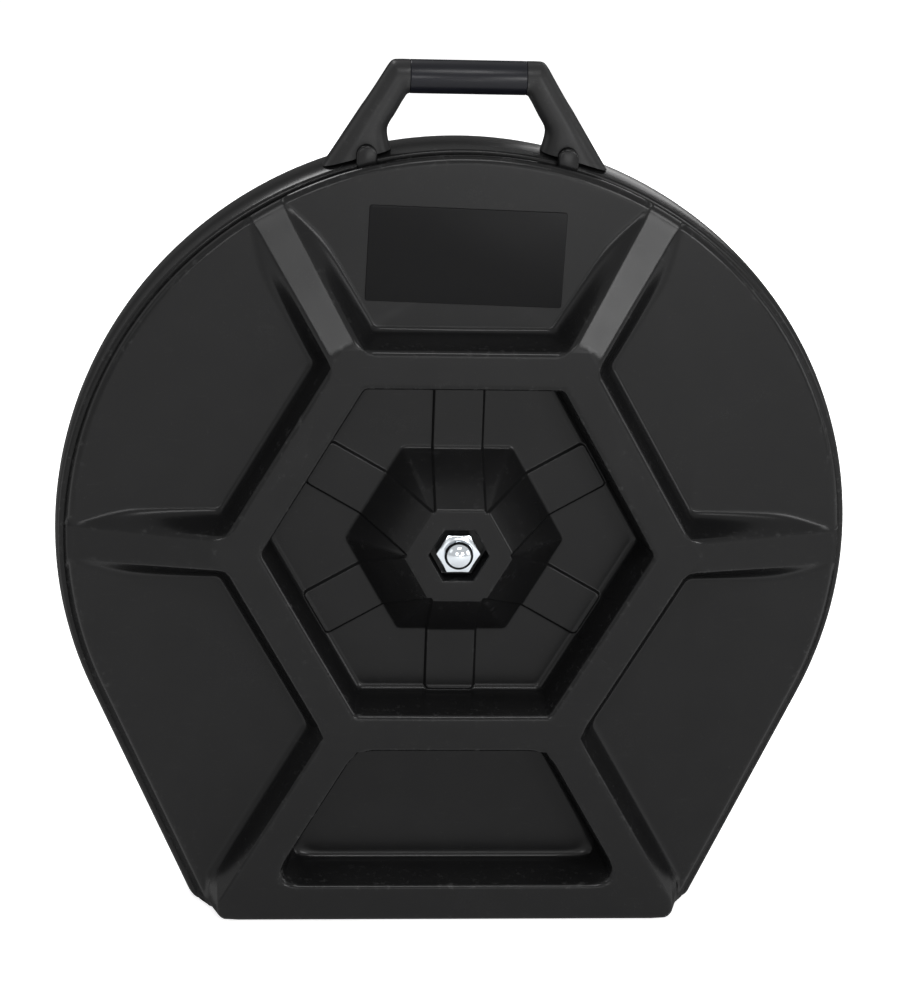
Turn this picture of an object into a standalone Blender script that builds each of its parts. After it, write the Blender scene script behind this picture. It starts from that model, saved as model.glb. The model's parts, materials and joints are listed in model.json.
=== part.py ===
"""Moulded case for drum cymbals up to 22 inches, with its centre spindle.

Metres, +Z up, +Y towards the back. The ring on the lid faces -Y. The origin
is in the middle of the flat foot that the case stands on. Depths run from the
front plane of the case, and from the back plane for the relief of the body.
"""
import math

import bpy
import bmesh
from mathutils import Vector

MM = 0.001
CASE = "cymbal_case"

# Case
case_radius = 306 * MM
case_depth = 140 * MM
axis_height = 302 * MM
side_angle = math.radians(24.5)
corner_radius = 14 * MM
wall = 4.5 * MM
fit = 0.3 * MM
overrun = 6 * MM
tuck = 1 * MM
arc_steps = 60
corner_steps = 4
edge_steps = 3
round_steps = 32
rib_steps = 4
lobe_steps = 8
weld_distance = 0.01 * MM
sharp_angle = math.radians(30)
bevel_angle = math.radians(60)

# Lid and body rims
lid_edge_depth = 43 * MM
seam_gap = 3 * MM
tongue_length = 7 * MM
tongue_wall = 3.5 * MM
lid_rim_inset = 4 * MM
lid_draft = 1.5 * MM
lid_edge_radius = 10 * MM
body_rim_inset = 3 * MM
body_bulge_depth = 68 * MM
body_edge_radius = 12 * MM

# Relief, shared by both faces
ring_outer = 159 * MM
ring_inner = 129.7 * MM
ring_flank = 9 * MM
relief_edge_radius = 4 * MM
rib_half_width = 13 * MM
rib_base_half_width = 25 * MM
rib_shoulder_share = 0.55
rib_tip_inset = 9 * MM
leg_outer_offset = 11 * MM
leg_inner_offset = 15.5 * MM
leg_flank = 12 * MM
foot_bar_height = 31 * MM
foot_corner_radius = 9 * MM
foot_end_height = 15 * MM
foot_end_flank = 8 * MM
foot_draft = 1.5 * MM
recess_draft = 6 * MM
recess_corner_radius = 13 * MM
lid_relief = 28 * MM
lid_floor_drop = 44.5 * MM
body_relief = 14 * MM

# Boss in the middle of the lid
boss_top = 33.5 * MM
boss_base = 73 * MM
strap_width = 36.5 * MM
strap_height = 2.5 * MM
boss_roof = 22.5 * MM
pocket_flats = 40 * MM
pocket_depth = 16.5 * MM

# Well for the knob in the middle of the body
well_inner = 56 * MM
well_draft = 3 * MM
well_drop = 30 * MM

# Spindle and what is threaded on it
journal_diameter = 18 * MM
spindle_diameter = 10 * MM
shoulder_depth = 58 * MM
spindle_end_depth = 130 * MM
collar_diameter = 30 * MM
collar_height = 5 * MM
chamfer = 1 * MM
nut_flats = 27.2 * MM
nut_front_depth = 4 * MM
dome_radius = 11 * MM
backing_diameter = 86 * MM
backing_thickness = 3 * MM
hub_base_diameter = 70 * MM
hub_top_diameter = 40 * MM
felt_diameter = 40 * MM
felt_thickness = 6 * MM
clamp_diameter = 32 * MM
washer_thickness = 2 * MM
wing_hub_diameter = 18 * MM
wing_hub_height = 11 * MM
wing_reach = 24 * MM
wing_height = 21 * MM
wing_thickness = 3.2 * MM
knob_washer_diameter = 28 * MM
knob_radius = 35 * MM
knob_height = 24 * MM
knob_lobes = 7
lobe_share = 0.16
knob_edge_radius = 4 * MM
insert_flats = 17 * MM
insert_height = 12 * MM

# Foam rings
pad_thickness = 10 * MM
front_pad_outer = 120 * MM
rear_pad_outer = 115 * MM
pad_clearance = 3 * MM

# Handle
handle_rise = 61.5 * MM
handle_bar_height = 25.5 * MM
handle_half_top = 57 * MM
grip_half_length = 44 * MM
handle_foot_reach = 107 * MM
handle_waist = 59.5 * MM
handle_waist_rise = 12 * MM
handle_toe = 55 * MM
handle_depth = 34 * MM
handle_edge = 6 * MM
handle_corner = 7 * MM
handle_waist_radius = 14 * MM
handle_core_diameter = 15 * MM
handle_bolt_angle = math.radians(15)
bolt_diameter = 6 * MM
bolt_length = 22 * MM
bolt_head_diameter = 12 * MM
bolt_head_height = 4 * MM
bolt_washer_diameter = 18 * MM
bolt_washer_thickness = 1.5 * MM

# Tabs of the lid at the handle
tab_centre = 75.3 * MM
tab_width = 15.5 * MM
tab_rise = 0.5 * MM
tab_root_depth = 20 * MM
tab_front_depth = 38.5 * MM

# Label
label_width = 148 * MM
label_height = 73 * MM
label_thickness = 0.8 * MM
label_corner = 2 * MM
label_place_share = 0.42
label_turn = math.radians(-1.6)

# Derived places
body_front_depth = lid_edge_depth + seam_gap
body_edge_depth = case_depth - body_relief - body_edge_radius
foot_middle_depth = (body_front_depth + body_edge_depth) / 2
tongue_inset = body_rim_inset + wall + fit
handle_middle_depth = body_front_depth + handle_depth / 2
handle_seat_radius = case_radius + fit
handle_top = case_radius + handle_rise
handle_waist_height = case_radius + handle_waist_rise
tab_top = case_radius + tab_rise
tab_root = case_radius - tab_root_depth
ring_foot = ring_outer + ring_flank
label_rise = ring_foot + (case_radius - ring_foot) * label_place_share
hexagon = 6
sixth = math.pi / 3
half_sixth = math.pi / 6


def world_y(depth):
    return depth - foot_middle_depth


def clear_scene():
    for thing in list(bpy.data.objects):
        bpy.data.objects.remove(thing, do_unlink=True)


def collection_named(name):
    found = bpy.data.collections.get(name)
    if found is None:
        found = bpy.data.collections.new(name)
        bpy.context.scene.collection.children.link(found)
    return found


def add_object(name, mesh):
    thing = bpy.data.objects.new(name, mesh)
    collection_named(CASE).objects.link(thing)
    return thing


def as_cutter(thing):
    collection_named(CASE).objects.unlink(thing)
    collection_named(CASE + "_cutters").objects.link(thing)
    thing.hide_render = True
    thing.display_type = "WIRE"
    return thing


def mesh_from(name, bm):
    bmesh.ops.recalc_face_normals(bm, faces=bm.faces)
    mesh = bpy.data.meshes.new(name)
    bm.to_mesh(mesh)
    bm.free()
    return mesh


def boolean(target, tool, operation):
    modifier = target.modifiers.new(operation.title() + " " + tool.name, "BOOLEAN")
    modifier.operation = operation
    modifier.solver = "EXACT"
    modifier.object = tool


def join(target, tools):
    for tool in tools:
        boolean(target, as_cutter(tool), "UNION")


def cut(target, tools):
    for tool in tools:
        boolean(target, as_cutter(tool), "DIFFERENCE")


# Outlines, as lists of (x, z) about the spindle axis

def rounded(corners, radii, steps):
    """Replace each corner by an arc of its radius, or keep it at radius zero."""
    points = []
    count = len(corners)
    for index, corner in enumerate(corners):
        here = Vector(corner)
        radius = radii[index]
        if radius == 0:
            points.append(tuple(here))
            continue
        back = (Vector(corners[index - 1]) - here).normalized()
        ahead = (Vector(corners[(index + 1) % count]) - here).normalized()
        half = back.angle(ahead) / 2
        centre = here + (back + ahead).normalized() * radius / math.sin(half)
        first = here + back * radius / math.tan(half) - centre
        last = here + ahead * radius / math.tan(half) - centre
        turn = first.angle_signed(last)
        for step in range(steps + 1):
            angle = -turn * step / steps
            spoke = Vector((first.x * math.cos(angle) - first.y * math.sin(angle),
                            first.x * math.sin(angle) + first.y * math.cos(angle)))
            points.append(tuple(centre + spoke))
    return points


def offset(corners, distances):
    """Move each side of a counterclockwise polygon outwards by its distance."""
    count = len(corners)
    lines = []
    for index in range(count):
        start = Vector(corners[index])
        along = (Vector(corners[(index + 1) % count]) - start).normalized()
        outward = Vector((along.y, -along.x))
        lines.append((start + outward * distances[index], along))
    moved = []
    for index in range(count):
        point, along = lines[index - 1]
        other, other_along = lines[index]
        cross = along.x * other_along.y - along.y * other_along.x
        gap = other - point
        share = (gap.x * other_along.y - gap.y * other_along.x) / cross
        moved.append(tuple(point + along * share))
    return moved


def hexagon_corners(inradius):
    """Six corners, counterclockwise from the right one."""
    reach = inradius / math.cos(half_sixth)
    return [(reach * math.cos(sixth * k), reach * math.sin(sixth * k)) for k in range(hexagon)]


def case_outline(inset, lift):
    """The round case with straight lower sides and a flat foot."""
    radius = case_radius - inset
    corner = max(corner_radius - max(inset, lift), tuck)
    foot = lift - axis_height
    low = foot + corner
    reach = (radius - corner + low * math.sin(side_angle)) / math.cos(side_angle)
    points = []
    sweep = math.pi + 2 * side_angle
    for step in range(arc_steps + 1):
        angle = -side_angle + sweep * step / arc_steps
        points.append((radius * math.cos(angle), radius * math.sin(angle)))
    for step in range(corner_steps + 1):
        angle = math.pi + side_angle + (math.pi / 2 - side_angle) * step / corner_steps
        points.append((-reach + corner * math.cos(angle), low + corner * math.sin(angle)))
    for step in range(corner_steps + 1):
        angle = -math.pi / 2 + (math.pi / 2 - side_angle) * step / corner_steps
        points.append((reach + corner * math.cos(angle), low + corner * math.sin(angle)))
    return points


# Solids

def loft(name, sections):
    """Skin a closed body over outlines given as (y, [(x, z), ...])."""
    bm = bmesh.new()
    rings = []
    for y, outline in sections:
        rings.append([bm.verts.new((x, y, axis_height + z)) for x, z in outline])
    for low, high in zip(rings, rings[1:]):
        for index in range(len(low)):
            after = (index + 1) % len(low)
            bm.faces.new((low[index], low[after], high[after], high[index]))
    bm.faces.new(rings[0])
    bm.faces.new(rings[-1])
    return add_object(name, mesh_from(name, bm))


def turned(name, profile, y, steps=round_steps, closed=False):
    """Spin a profile of (radius, height) about the spindle axis, heights along +Y."""
    bm = bmesh.new()
    verts = [bm.verts.new((radius, 0, height)) for radius, height in profile]
    for first, second in zip(verts, verts[1:]):
        bm.edges.new((first, second))
    if closed:
        bm.edges.new((verts[-1], verts[0]))
    mesh = bpy.data.meshes.new(name)
    bm.to_mesh(mesh)
    bm.free()
    thing = add_object(name, mesh)
    screw = thing.modifiers.new("Spin", "SCREW")
    screw.axis = "Z"
    screw.steps = steps
    screw.render_steps = steps
    screw.use_merge_vertices = True
    screw.merge_threshold = weld_distance
    thing.rotation_euler = (-math.pi / 2, 0, 0)
    thing.location = (0, y, axis_height)
    return thing


def disc(name, outer, inner, y, thickness, steps=round_steps):
    """A flat ring with small chamfers outside."""
    ease = min(chamfer, thickness / 4)
    profile = [(inner, thickness), (outer - ease, thickness), (outer, thickness - ease),
               (outer, ease), (outer - ease, 0), (inner, 0)]
    return turned(name, profile, y, steps, closed=True)


def rod(name, radius, y, length, steps=round_steps):
    profile = [(0, length), (radius, length), (radius, 0), (0, 0)]
    return turned(name, profile, y, steps)


def prism(name, inradius, other_inradius, y, length):
    """A six-sided block along Y, flats up and down, tapered if the inradii differ."""
    return loft(name, [(y, hexagon_corners(inradius)), (y + length, hexagon_corners(other_inradius))])


# Relief of one face

class Face:
    """Where the relief of a face stands: depths run inwards from its outer plane."""

    def __init__(self, label, plane, inward, relief, floor_drop, edge_inset, edge_radius):
        self.label = label
        self.plane = plane
        self.inward = inward
        self.relief = relief
        self.floor_drop = floor_drop
        self.edge_inset = edge_inset
        self.edge_radius = edge_radius

    def y(self, drop):
        return world_y(self.plane + self.inward * drop)


def leg_point(along, sideways):
    """A point beside the right leg's middle line, which runs out from the axis."""
    out = Vector((math.sin(half_sixth), -math.cos(half_sixth)))
    side = Vector((math.cos(half_sixth), math.sin(half_sixth)))
    return out * along + side * sideways


def leg_at_height(z, sideways):
    along = (sideways * math.sin(half_sixth) - z) / math.cos(half_sixth)
    return leg_point(along, sideways)


def relief_corners():
    """Ring and lower frame in one outline, counterclockwise from the right corner."""
    right, upper_right, upper_left, left = hexagon_corners(ring_outer)[:4]
    along = (ring_outer - leg_outer_offset * math.sin(half_sixth)) / math.cos(half_sixth)
    hip = leg_point(along, leg_outer_offset)
    ankle = leg_at_height(foot_end_height - axis_height, leg_outer_offset)
    toe = Vector((ankle.x, foot_draft - axis_height))
    return [right, upper_right, upper_left, left, (-hip.x, hip.y), (-ankle.x, ankle.y), (-toe.x, toe.y),
            tuple(toe), tuple(ankle), tuple(hip)]


def relief_sides():
    """How far the flank of each side runs out at the panel."""
    return [ring_flank, ring_flank, ring_flank, ring_flank, leg_flank, foot_end_flank, foot_draft,
            foot_end_flank, leg_flank, ring_flank]


def relief_block(face, inset):
    """Raised ring, legs and foot bar, shrunk by inset for the hollow behind them."""
    corners = relief_corners()
    radii = [0, 0, 0, 0, 0, 0, foot_corner_radius, foot_corner_radius, 0, 0]
    base_drop = face.relief + wall + tuck
    sections = []
    for step in range(edge_steps + 1):
        angle = math.pi / 2 * step / edge_steps
        drop = relief_edge_radius * (1 - math.cos(angle))
        back = relief_edge_radius * (1 - math.sin(angle))
        spread = [side * drop / face.relief - inset - back for side in relief_sides()]
        sections.append((face.y(drop + inset), rounded(offset(corners, spread), radii, corner_steps)))
    spread = [side - inset for side in relief_sides()]
    outline = rounded(offset(corners, spread), radii, corner_steps)
    sections.append((face.y(face.relief + inset), outline))
    sections.append((face.y(base_drop + inset), outline))
    return loft(face.label + "_relief", sections)


def hexagon_recess(face, grow):
    """The six-sided hollow inside the ring, grown by the wall for the inner skin."""
    sections = []
    if grow == 0:
        sections.append((face.y(-overrun), hexagon_corners(ring_inner + relief_edge_radius)))
        for step in range(edge_steps + 1):
            angle = math.pi / 2 * step / edge_steps
            drop = relief_edge_radius * math.sin(angle)
            flare = relief_edge_radius * (1 - math.sin(angle))
            sections.append((face.y(drop), hexagon_corners(ring_inner + flare)))
    else:
        sections.append((face.y(0), hexagon_corners(ring_inner + grow)))
    sections.append((face.y(face.floor_drop + grow), hexagon_corners(ring_inner - recess_draft + grow)))
    return loft(face.label + "_hexagon_recess", sections)


def lower_recess(face, grow):
    """The hollow between the legs above the foot bar."""
    top = -ring_outer
    bottom = foot_bar_height - axis_height
    high = leg_at_height(top, -leg_inner_offset)
    low = leg_at_height(bottom, -leg_inner_offset)
    corners = [tuple(high), (-high.x, high.y), (-low.x, low.y), tuple(low)]
    radii = [0, 0, recess_corner_radius, recess_corner_radius]
    sections = []
    if grow == 0:
        flare = [relief_edge_radius] * len(corners)
        sections.append((face.y(-overrun), rounded(offset(corners, flare), radii, corner_steps)))
        for step in range(edge_steps + 1):
            angle = math.pi / 2 * step / edge_steps
            drop = relief_edge_radius * math.sin(angle)
            flare = [relief_edge_radius * (1 - math.sin(angle))] * len(corners)
            sections.append((face.y(drop), rounded(offset(corners, flare), radii, corner_steps)))
    else:
        spread = [grow] * len(corners)
        sections.append((face.y(0), rounded(offset(corners, spread), radii, corner_steps)))
    spread = [grow - recess_draft] * len(corners)
    sections.append((face.y(face.floor_drop + grow), rounded(offset(corners, spread), radii, corner_steps)))
    return loft(face.label + "_lower_recess", sections)


def rib(face, index, inset):
    """A rib from a corner of the ring that sinks into the panel at the rim."""
    ring_corner = ring_outer / math.cos(half_sixth)
    start = ring_corner - 2 * rib_base_half_width
    tip = case_radius - rib_tip_inset
    over_edge = tip - (case_radius - face.edge_inset - face.edge_radius)
    tip_drop = face.relief + face.edge_radius - math.sqrt(face.edge_radius ** 2 - over_edge ** 2) + fit
    stations = [(start, fit, rib_base_half_width), (ring_corner, fit, rib_base_half_width)]
    for step in range(rib_steps + 1):
        share = rib_shoulder_share + (1 - rib_shoulder_share) * step / rib_steps
        narrowing = 1 - math.cos(math.pi / 2 * step / rib_steps)
        reach = ring_corner + (tip - ring_corner) * share
        drop = fit + (tip_drop - fit) * share
        base_half = rib_base_half_width + (rib_half_width + tuck - rib_base_half_width) * narrowing
        stations.append((reach, drop, base_half))
    base_drop = face.relief + wall + tuck
    bm = bmesh.new()
    rings = []
    for reach, drop, base_half in stations:
        top = rib_half_width - inset
        base = base_half - inset
        panel_drop = max(face.relief, drop + fit)
        section = [(-base, base_drop), (-base, panel_drop), (-top, drop),
                   (top, drop), (base, panel_drop), (base, base_drop)]
        ring = []
        for sideways, depth in section:
            ring.append(bm.verts.new((reach, face.y(depth + inset), sideways)))
        rings.append(ring)
    for low, high in zip(rings, rings[1:]):
        for number in range(len(low)):
            after = (number + 1) % len(low)
            bm.faces.new((low[number], low[after], high[after], high[number]))
    bm.faces.new(rings[0])
    bm.faces.new(rings[-1])
    thing = add_object(face.label + "_rib_" + str(index), mesh_from("rib", bm))
    thing.rotation_euler = (0, -sixth * index, 0)
    thing.location = (0, 0, axis_height)
    return thing


def upper_ribs(face, inset):
    """Four ribs: right, upper right, upper left and left."""
    return [rib(face, index, inset) for index in range(4)]


# Boss of the lid

def boss_section(inradius):
    """A hexagon whose sides carry the raised straps."""
    points = []
    half = strap_width / 2
    for index in range(hexagon):
        facing = half_sixth + sixth * index
        out = Vector((math.cos(facing), math.sin(facing)))
        along = Vector((-out.y, out.x))
        corner = inradius * math.tan(half_sixth)
        half_here = min(half, corner * (1 - fit / wall))
        points.append(tuple(out * inradius - along * corner))
        points.append(tuple(out * inradius - along * half_here))
        points.append(tuple(out * (inradius + strap_height) - along * half_here))
        points.append(tuple(out * (inradius + strap_height) + along * half_here))
        points.append(tuple(out * inradius + along * half_here))
    return points


def boss(face):
    """The tapered block in the middle of the lid."""
    slope = (boss_base - boss_top) / face.floor_drop
    end = face.floor_drop + tuck
    edge = relief_edge_radius / 2
    sections = [(face.y(0), boss_section(boss_top - edge)),
                (face.y(edge), boss_section(boss_top + slope * edge)),
                (face.y(end), boss_section(boss_top + slope * end))]
    return loft("boss", sections)


def boss_hollow(face):
    """The room under the boss, closed by its roof."""
    slope = (boss_base - boss_top) / face.floor_drop
    inset = wall * math.hypot(1, slope)
    end = face.floor_drop + wall + overrun
    return prism("boss_hollow", boss_top + slope * boss_roof - inset, boss_top + slope * end - inset,
                 face.y(boss_roof), end - boss_roof)


def floor_strap(face, index):
    """A raised band from the boss to the ring."""
    length = ring_inner - boss_top
    bm = bmesh.new()
    bmesh.ops.create_cube(bm, size=1)
    thickness = strap_height + 2 * tuck
    bmesh.ops.scale(bm, vec=(length, thickness, strap_width - 2 * fit), verts=bm.verts)
    middle = (ring_inner + boss_top) / 2
    y = face.y(face.floor_drop - strap_height + thickness / 2)
    bmesh.ops.translate(bm, vec=(middle, y, 0), verts=bm.verts)
    thing = add_object("strap_" + str(index), mesh_from("strap", bm))
    thing.rotation_euler = (0, -half_sixth - sixth * index, 0)
    thing.location = (0, 0, axis_height)
    return thing


# Shells

def edge_sections(depth, direction, inset, radius, lift):
    """Sections of a rounded edge that turns from the side into the panel."""
    sections = []
    for step in range(edge_steps + 1):
        angle = math.pi / 2 * step / edge_steps
        back = radius * (1 - math.cos(angle))
        here = depth + direction * radius * math.sin(angle)
        sections.append((world_y(here), case_outline(inset + back, lift + back)))
    return sections


def lid_skin():
    sections = [(world_y(body_front_depth + tongue_length), case_outline(tongue_inset, tongue_inset)),
                (world_y(lid_edge_depth), case_outline(tongue_inset, tongue_inset)),
                (world_y(lid_edge_depth), case_outline(lid_rim_inset, 0))]
    start = lid_relief + lid_edge_radius
    sections += edge_sections(start, -1, lid_rim_inset + lid_draft, lid_edge_radius, 0)
    return loft("front_shell", sections)


def lid_room():
    """What the lid's tray leaves free inside."""
    inner = tongue_inset + tongue_wall
    radius = lid_edge_radius - wall
    start = lid_relief + wall + radius
    end = body_front_depth + tongue_length + overrun
    sections = [(world_y(end), case_outline(inner, inner))]
    sections += edge_sections(start, -1, inner, radius, inner)
    return loft("lid_room", sections)


def lid_hollow(face):
    room = lid_room()
    join(room, [relief_block(face, wall)] + upper_ribs(face, wall))
    cut(room, [hexagon_recess(face, wall), lower_recess(face, wall)])
    join(room, [boss_hollow(face)])
    return room


def lid_tab(side):
    """A round-topped tab of the lid in front of a handle foot."""
    half = tab_width / 2
    corners = [(side * tab_centre - half, tab_root), (side * tab_centre + half, tab_root),
               (side * tab_centre + half, tab_top), (side * tab_centre - half, tab_top)]
    outline = rounded(corners, [0, 0, half * (1 - fit / wall), half * (1 - fit / wall)], corner_steps)
    name = "tab_right" if side > 0 else "tab_left"
    return loft(name, [(world_y(tab_front_depth), outline), (world_y(body_front_depth - fit), outline)])


def front_shell(face):
    shell = lid_skin()
    join(shell, [relief_block(face, 0)] + upper_ribs(face, 0))
    cut(shell, [hexagon_recess(face, 0), lower_recess(face, 0)])
    join(shell, [floor_strap(face, index) for index in range(hexagon)])
    join(shell, [boss(face)])
    join(shell, [lid_tab(-1), lid_tab(1)])
    cut(shell, [lid_hollow(face)])
    half = pocket_flats / 2
    cut(shell, [prism("nut_pocket", half, half, face.y(-overrun), pocket_depth + overrun)])
    cut(shell, [rod("journal_hole", journal_diameter / 2 + fit, face.y(0), boss_roof + overrun)])
    return shell


def body_skin():
    sections = [(world_y(body_front_depth), case_outline(body_rim_inset, 0)),
                (world_y(body_bulge_depth), case_outline(0, 0))]
    sections += edge_sections(body_edge_depth, 1, body_rim_inset, body_edge_radius, 0)
    return loft("rear_shell", sections)


def body_room():
    inner = body_rim_inset + wall
    sections = [(world_y(body_front_depth - overrun), case_outline(inner, inner))]
    sections += edge_sections(body_edge_depth, 1, inner, body_edge_radius - wall, inner)
    return loft("body_room", sections)


def knob_well(face, grow):
    top = face.floor_drop
    sections = [(face.y(top - tuck - grow), hexagon_corners(well_inner + grow)),
                (face.y(well_drop + grow), hexagon_corners(well_inner - well_draft + grow))]
    return loft(face.label + "_well", sections)


def body_hollow(face):
    room = body_room()
    join(room, [relief_block(face, wall)] + upper_ribs(face, wall))
    cut(room, [hexagon_recess(face, wall), lower_recess(face, wall), knob_well(face, wall)])
    return room


def bolt_place(radius, side):
    """A point on the line of a handle bolt, and its turn about Y."""
    angle = side * handle_bolt_angle
    x = radius * math.sin(angle)
    z = axis_height + radius * math.cos(angle)
    return Vector((x, world_y(handle_middle_depth), z)), angle


def bolt_seat_radius():
    """Where the washer's rim meets the round inside of the body."""
    inside = case_radius - body_rim_inset - wall
    return math.sqrt(inside ** 2 - (bolt_washer_diameter / 2) ** 2) - fit


def stand_on_bolt(thing, radius, side):
    place, angle = bolt_place(radius, side)
    thing.location = place
    thing.rotation_euler = (0, angle, 0)
    return thing


def rear_shell(face):
    shell = body_skin()
    join(shell, [relief_block(face, 0)] + upper_ribs(face, 0))
    cut(shell, [hexagon_recess(face, 0), lower_recess(face, 0), knob_well(face, 0)])
    cut(shell, [body_hollow(face)])
    hole = well_drop + wall + overrun
    cut(shell, [rod("spindle_hole", spindle_diameter / 2 + fit, face.y(hole), hole)])
    for side in (-1, 1):
        name = "bolt_hole_right" if side > 0 else "bolt_hole_left"
        drill = rod(name, bolt_diameter / 2 + fit, 0, wall + 2 * overrun)
        cut(shell, [stand_on_bolt(drill, bolt_seat_radius() - overrun, side)])
    return shell


# Handle

def foot_arc(start, end, steps):
    """Points along the case rim between two sideways places."""
    first = math.asin(start / handle_seat_radius)
    last = math.asin(end / handle_seat_radius)
    points = []
    for step in range(steps + 1):
        angle = first + (last - first) * step / steps
        points.append((handle_seat_radius * math.sin(angle), handle_seat_radius * math.cos(angle)))
    return points


def handle_leg(side):
    """One leg with its end of the bar, as an outline made thick along Y."""
    bar_bottom = handle_top - handle_bar_height
    arc = foot_arc(handle_toe, handle_foot_reach, corner_steps)
    corners = [(grip_half_length, handle_top), (grip_half_length, bar_bottom),
               (handle_waist, handle_waist_height)] + arc + [(handle_half_top, handle_top)]
    radii = [0, 0, handle_waist_radius] + [0] * len(arc) + [handle_corner]
    outline = rounded(corners, radii, corner_steps)
    if side < 0:
        outline = [(-x, z) for x, z in outline]
    name = "handle_leg_right" if side > 0 else "handle_leg_left"
    half = handle_depth / 2
    middle = world_y(handle_middle_depth)
    leg = loft(name, [(middle - half, outline), (middle + half, outline)])
    bevel = leg.modifiers.new("Round", "BEVEL")
    bevel.width = handle_edge
    bevel.segments = edge_steps
    bevel.limit_method = "ANGLE"
    bevel.angle_limit = bevel_angle
    return leg


def along_x(thing, x):
    """Lay a turned piece along X in the middle of the handle bar."""
    thing.rotation_euler = (0, math.pi / 2, 0)
    height = axis_height + handle_top - handle_bar_height / 2
    thing.location = (x, world_y(handle_middle_depth), height)
    return thing


def bolt_under_head():
    return bolt_seat_radius() - bolt_washer_thickness - fit


def handle_frame():
    reach = grip_half_length + handle_corner
    frame = rod("handle_frame", handle_core_diameter / 2, 0, 2 * reach)
    along_x(frame, -reach)
    join(frame, [handle_leg(-1), handle_leg(1)])
    for side in (-1, 1):
        name = "insert_hole_right" if side > 0 else "insert_hole_left"
        drill = rod(name, bolt_diameter / 2 + fit, 0, bolt_length + fit)
        cut(frame, [stand_on_bolt(drill, bolt_under_head(), side)])
    return frame


def handle_grip():
    outer = handle_bar_height / 2
    inner = handle_core_diameter / 2 + fit
    length = 2 * (grip_half_length - fit)
    grip = disc("handle_grip", outer, inner, 0, length)
    return along_x(grip, -length / 2)


def handle_bolt(side):
    name = "handle_bolt_right" if side > 0 else "handle_bolt_left"
    shank = bolt_diameter / 2
    head = bolt_head_diameter / 2
    profile = [(0, bolt_length), (shank - chamfer, bolt_length), (shank, bolt_length - chamfer), (shank, 0),
               (head, 0), (head, chamfer - bolt_head_height), (head - chamfer, -bolt_head_height),
               (0, -bolt_head_height)]
    bolt = turned(name, profile, 0, round_steps // 2)
    return stand_on_bolt(bolt, bolt_under_head(), side)


def handle_washer(side):
    name = "handle_washer_right" if side > 0 else "handle_washer_left"
    outer = bolt_washer_diameter / 2
    inner = bolt_diameter / 2 + fit
    washer = disc(name, outer, inner, 0, bolt_washer_thickness, round_steps // 2)
    return stand_on_bolt(washer, bolt_seat_radius() - bolt_washer_thickness, side)


# Centre

def depth_steps(profile, start):
    return [(radius, depth - start) for radius, depth in profile]


def spindle():
    journal = journal_diameter / 2
    thin = spindle_diameter / 2
    collar = collar_diameter / 2
    collar_front = boss_roof + backing_thickness + 2 * fit
    front = nut_front_depth + wall
    end = spindle_end_depth
    collar_back = collar_front + collar_height
    profile = [(0, end), (thin - chamfer, end), (thin, end - chamfer), (thin, shoulder_depth),
               (journal, shoulder_depth), (journal, collar_back), (collar, collar_back),
               (collar, collar_front), (journal, collar_front), (journal, front + chamfer),
               (journal - chamfer, front), (0, front)]
    return turned("spindle", depth_steps(profile, front), world_y(front))


def cap_nut():
    seat = pocket_depth - fit
    height = seat - nut_front_depth
    nut = prism("cap_nut", nut_flats / 2, nut_flats / 2, world_y(nut_front_depth), height)
    profile = []
    dome_steps = 2 * edge_steps
    for step in range(dome_steps + 1):
        angle = math.pi / 2 * step / dome_steps
        profile.append((dome_radius * math.cos(angle), -dome_radius * math.sin(angle)))
    profile[-1] = (0, -dome_radius)
    profile = [(0, chamfer), (dome_radius, chamfer)] + profile
    join(nut, [turned("nut_dome", profile, world_y(nut_front_depth))])
    bore = rod("nut_bore", journal_diameter / 2 + fit, world_y(nut_front_depth + wall - fit), height)
    cut(nut, [bore])
    return nut


def backing_plate():
    return disc("backing_plate", backing_diameter / 2, journal_diameter / 2 + fit,
                world_y(boss_roof + fit), backing_thickness)


def hub():
    """The moulded spool that carries the cymbals clear of the lid."""
    base = boss_roof + backing_thickness + 2 * fit
    bore = journal_diameter / 2 + fit
    room = collar_diameter / 2 + fit
    collar_back = base + collar_height + fit
    profile = [(bore, shoulder_depth), (hub_top_diameter / 2, shoulder_depth),
               (hub_top_diameter / 2, shoulder_depth - wall), (hub_base_diameter / 2, base + wall),
               (hub_base_diameter / 2, base), (room, base), (room, collar_back), (bore, collar_back)]
    return turned("hub", depth_steps(profile, base), world_y(base), closed=True)


def stack_depths():
    """Front faces of what lies on the hub, one after the other."""
    front_felt = shoulder_depth + fit
    rear_felt = front_felt + felt_thickness + fit
    clamp = rear_felt + felt_thickness + fit
    nut = clamp + washer_thickness + fit
    return front_felt, rear_felt, clamp, nut


def felts_and_clamp():
    front_felt, rear_felt, clamp, nut = stack_depths()
    bore = spindle_diameter / 2 + fit
    return [disc("front_felt", felt_diameter / 2, bore, world_y(front_felt), felt_thickness),
            disc("rear_felt", felt_diameter / 2, bore, world_y(rear_felt), felt_thickness),
            disc("clamp_washer", clamp_diameter / 2, bore, world_y(clamp), washer_thickness)]


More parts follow.
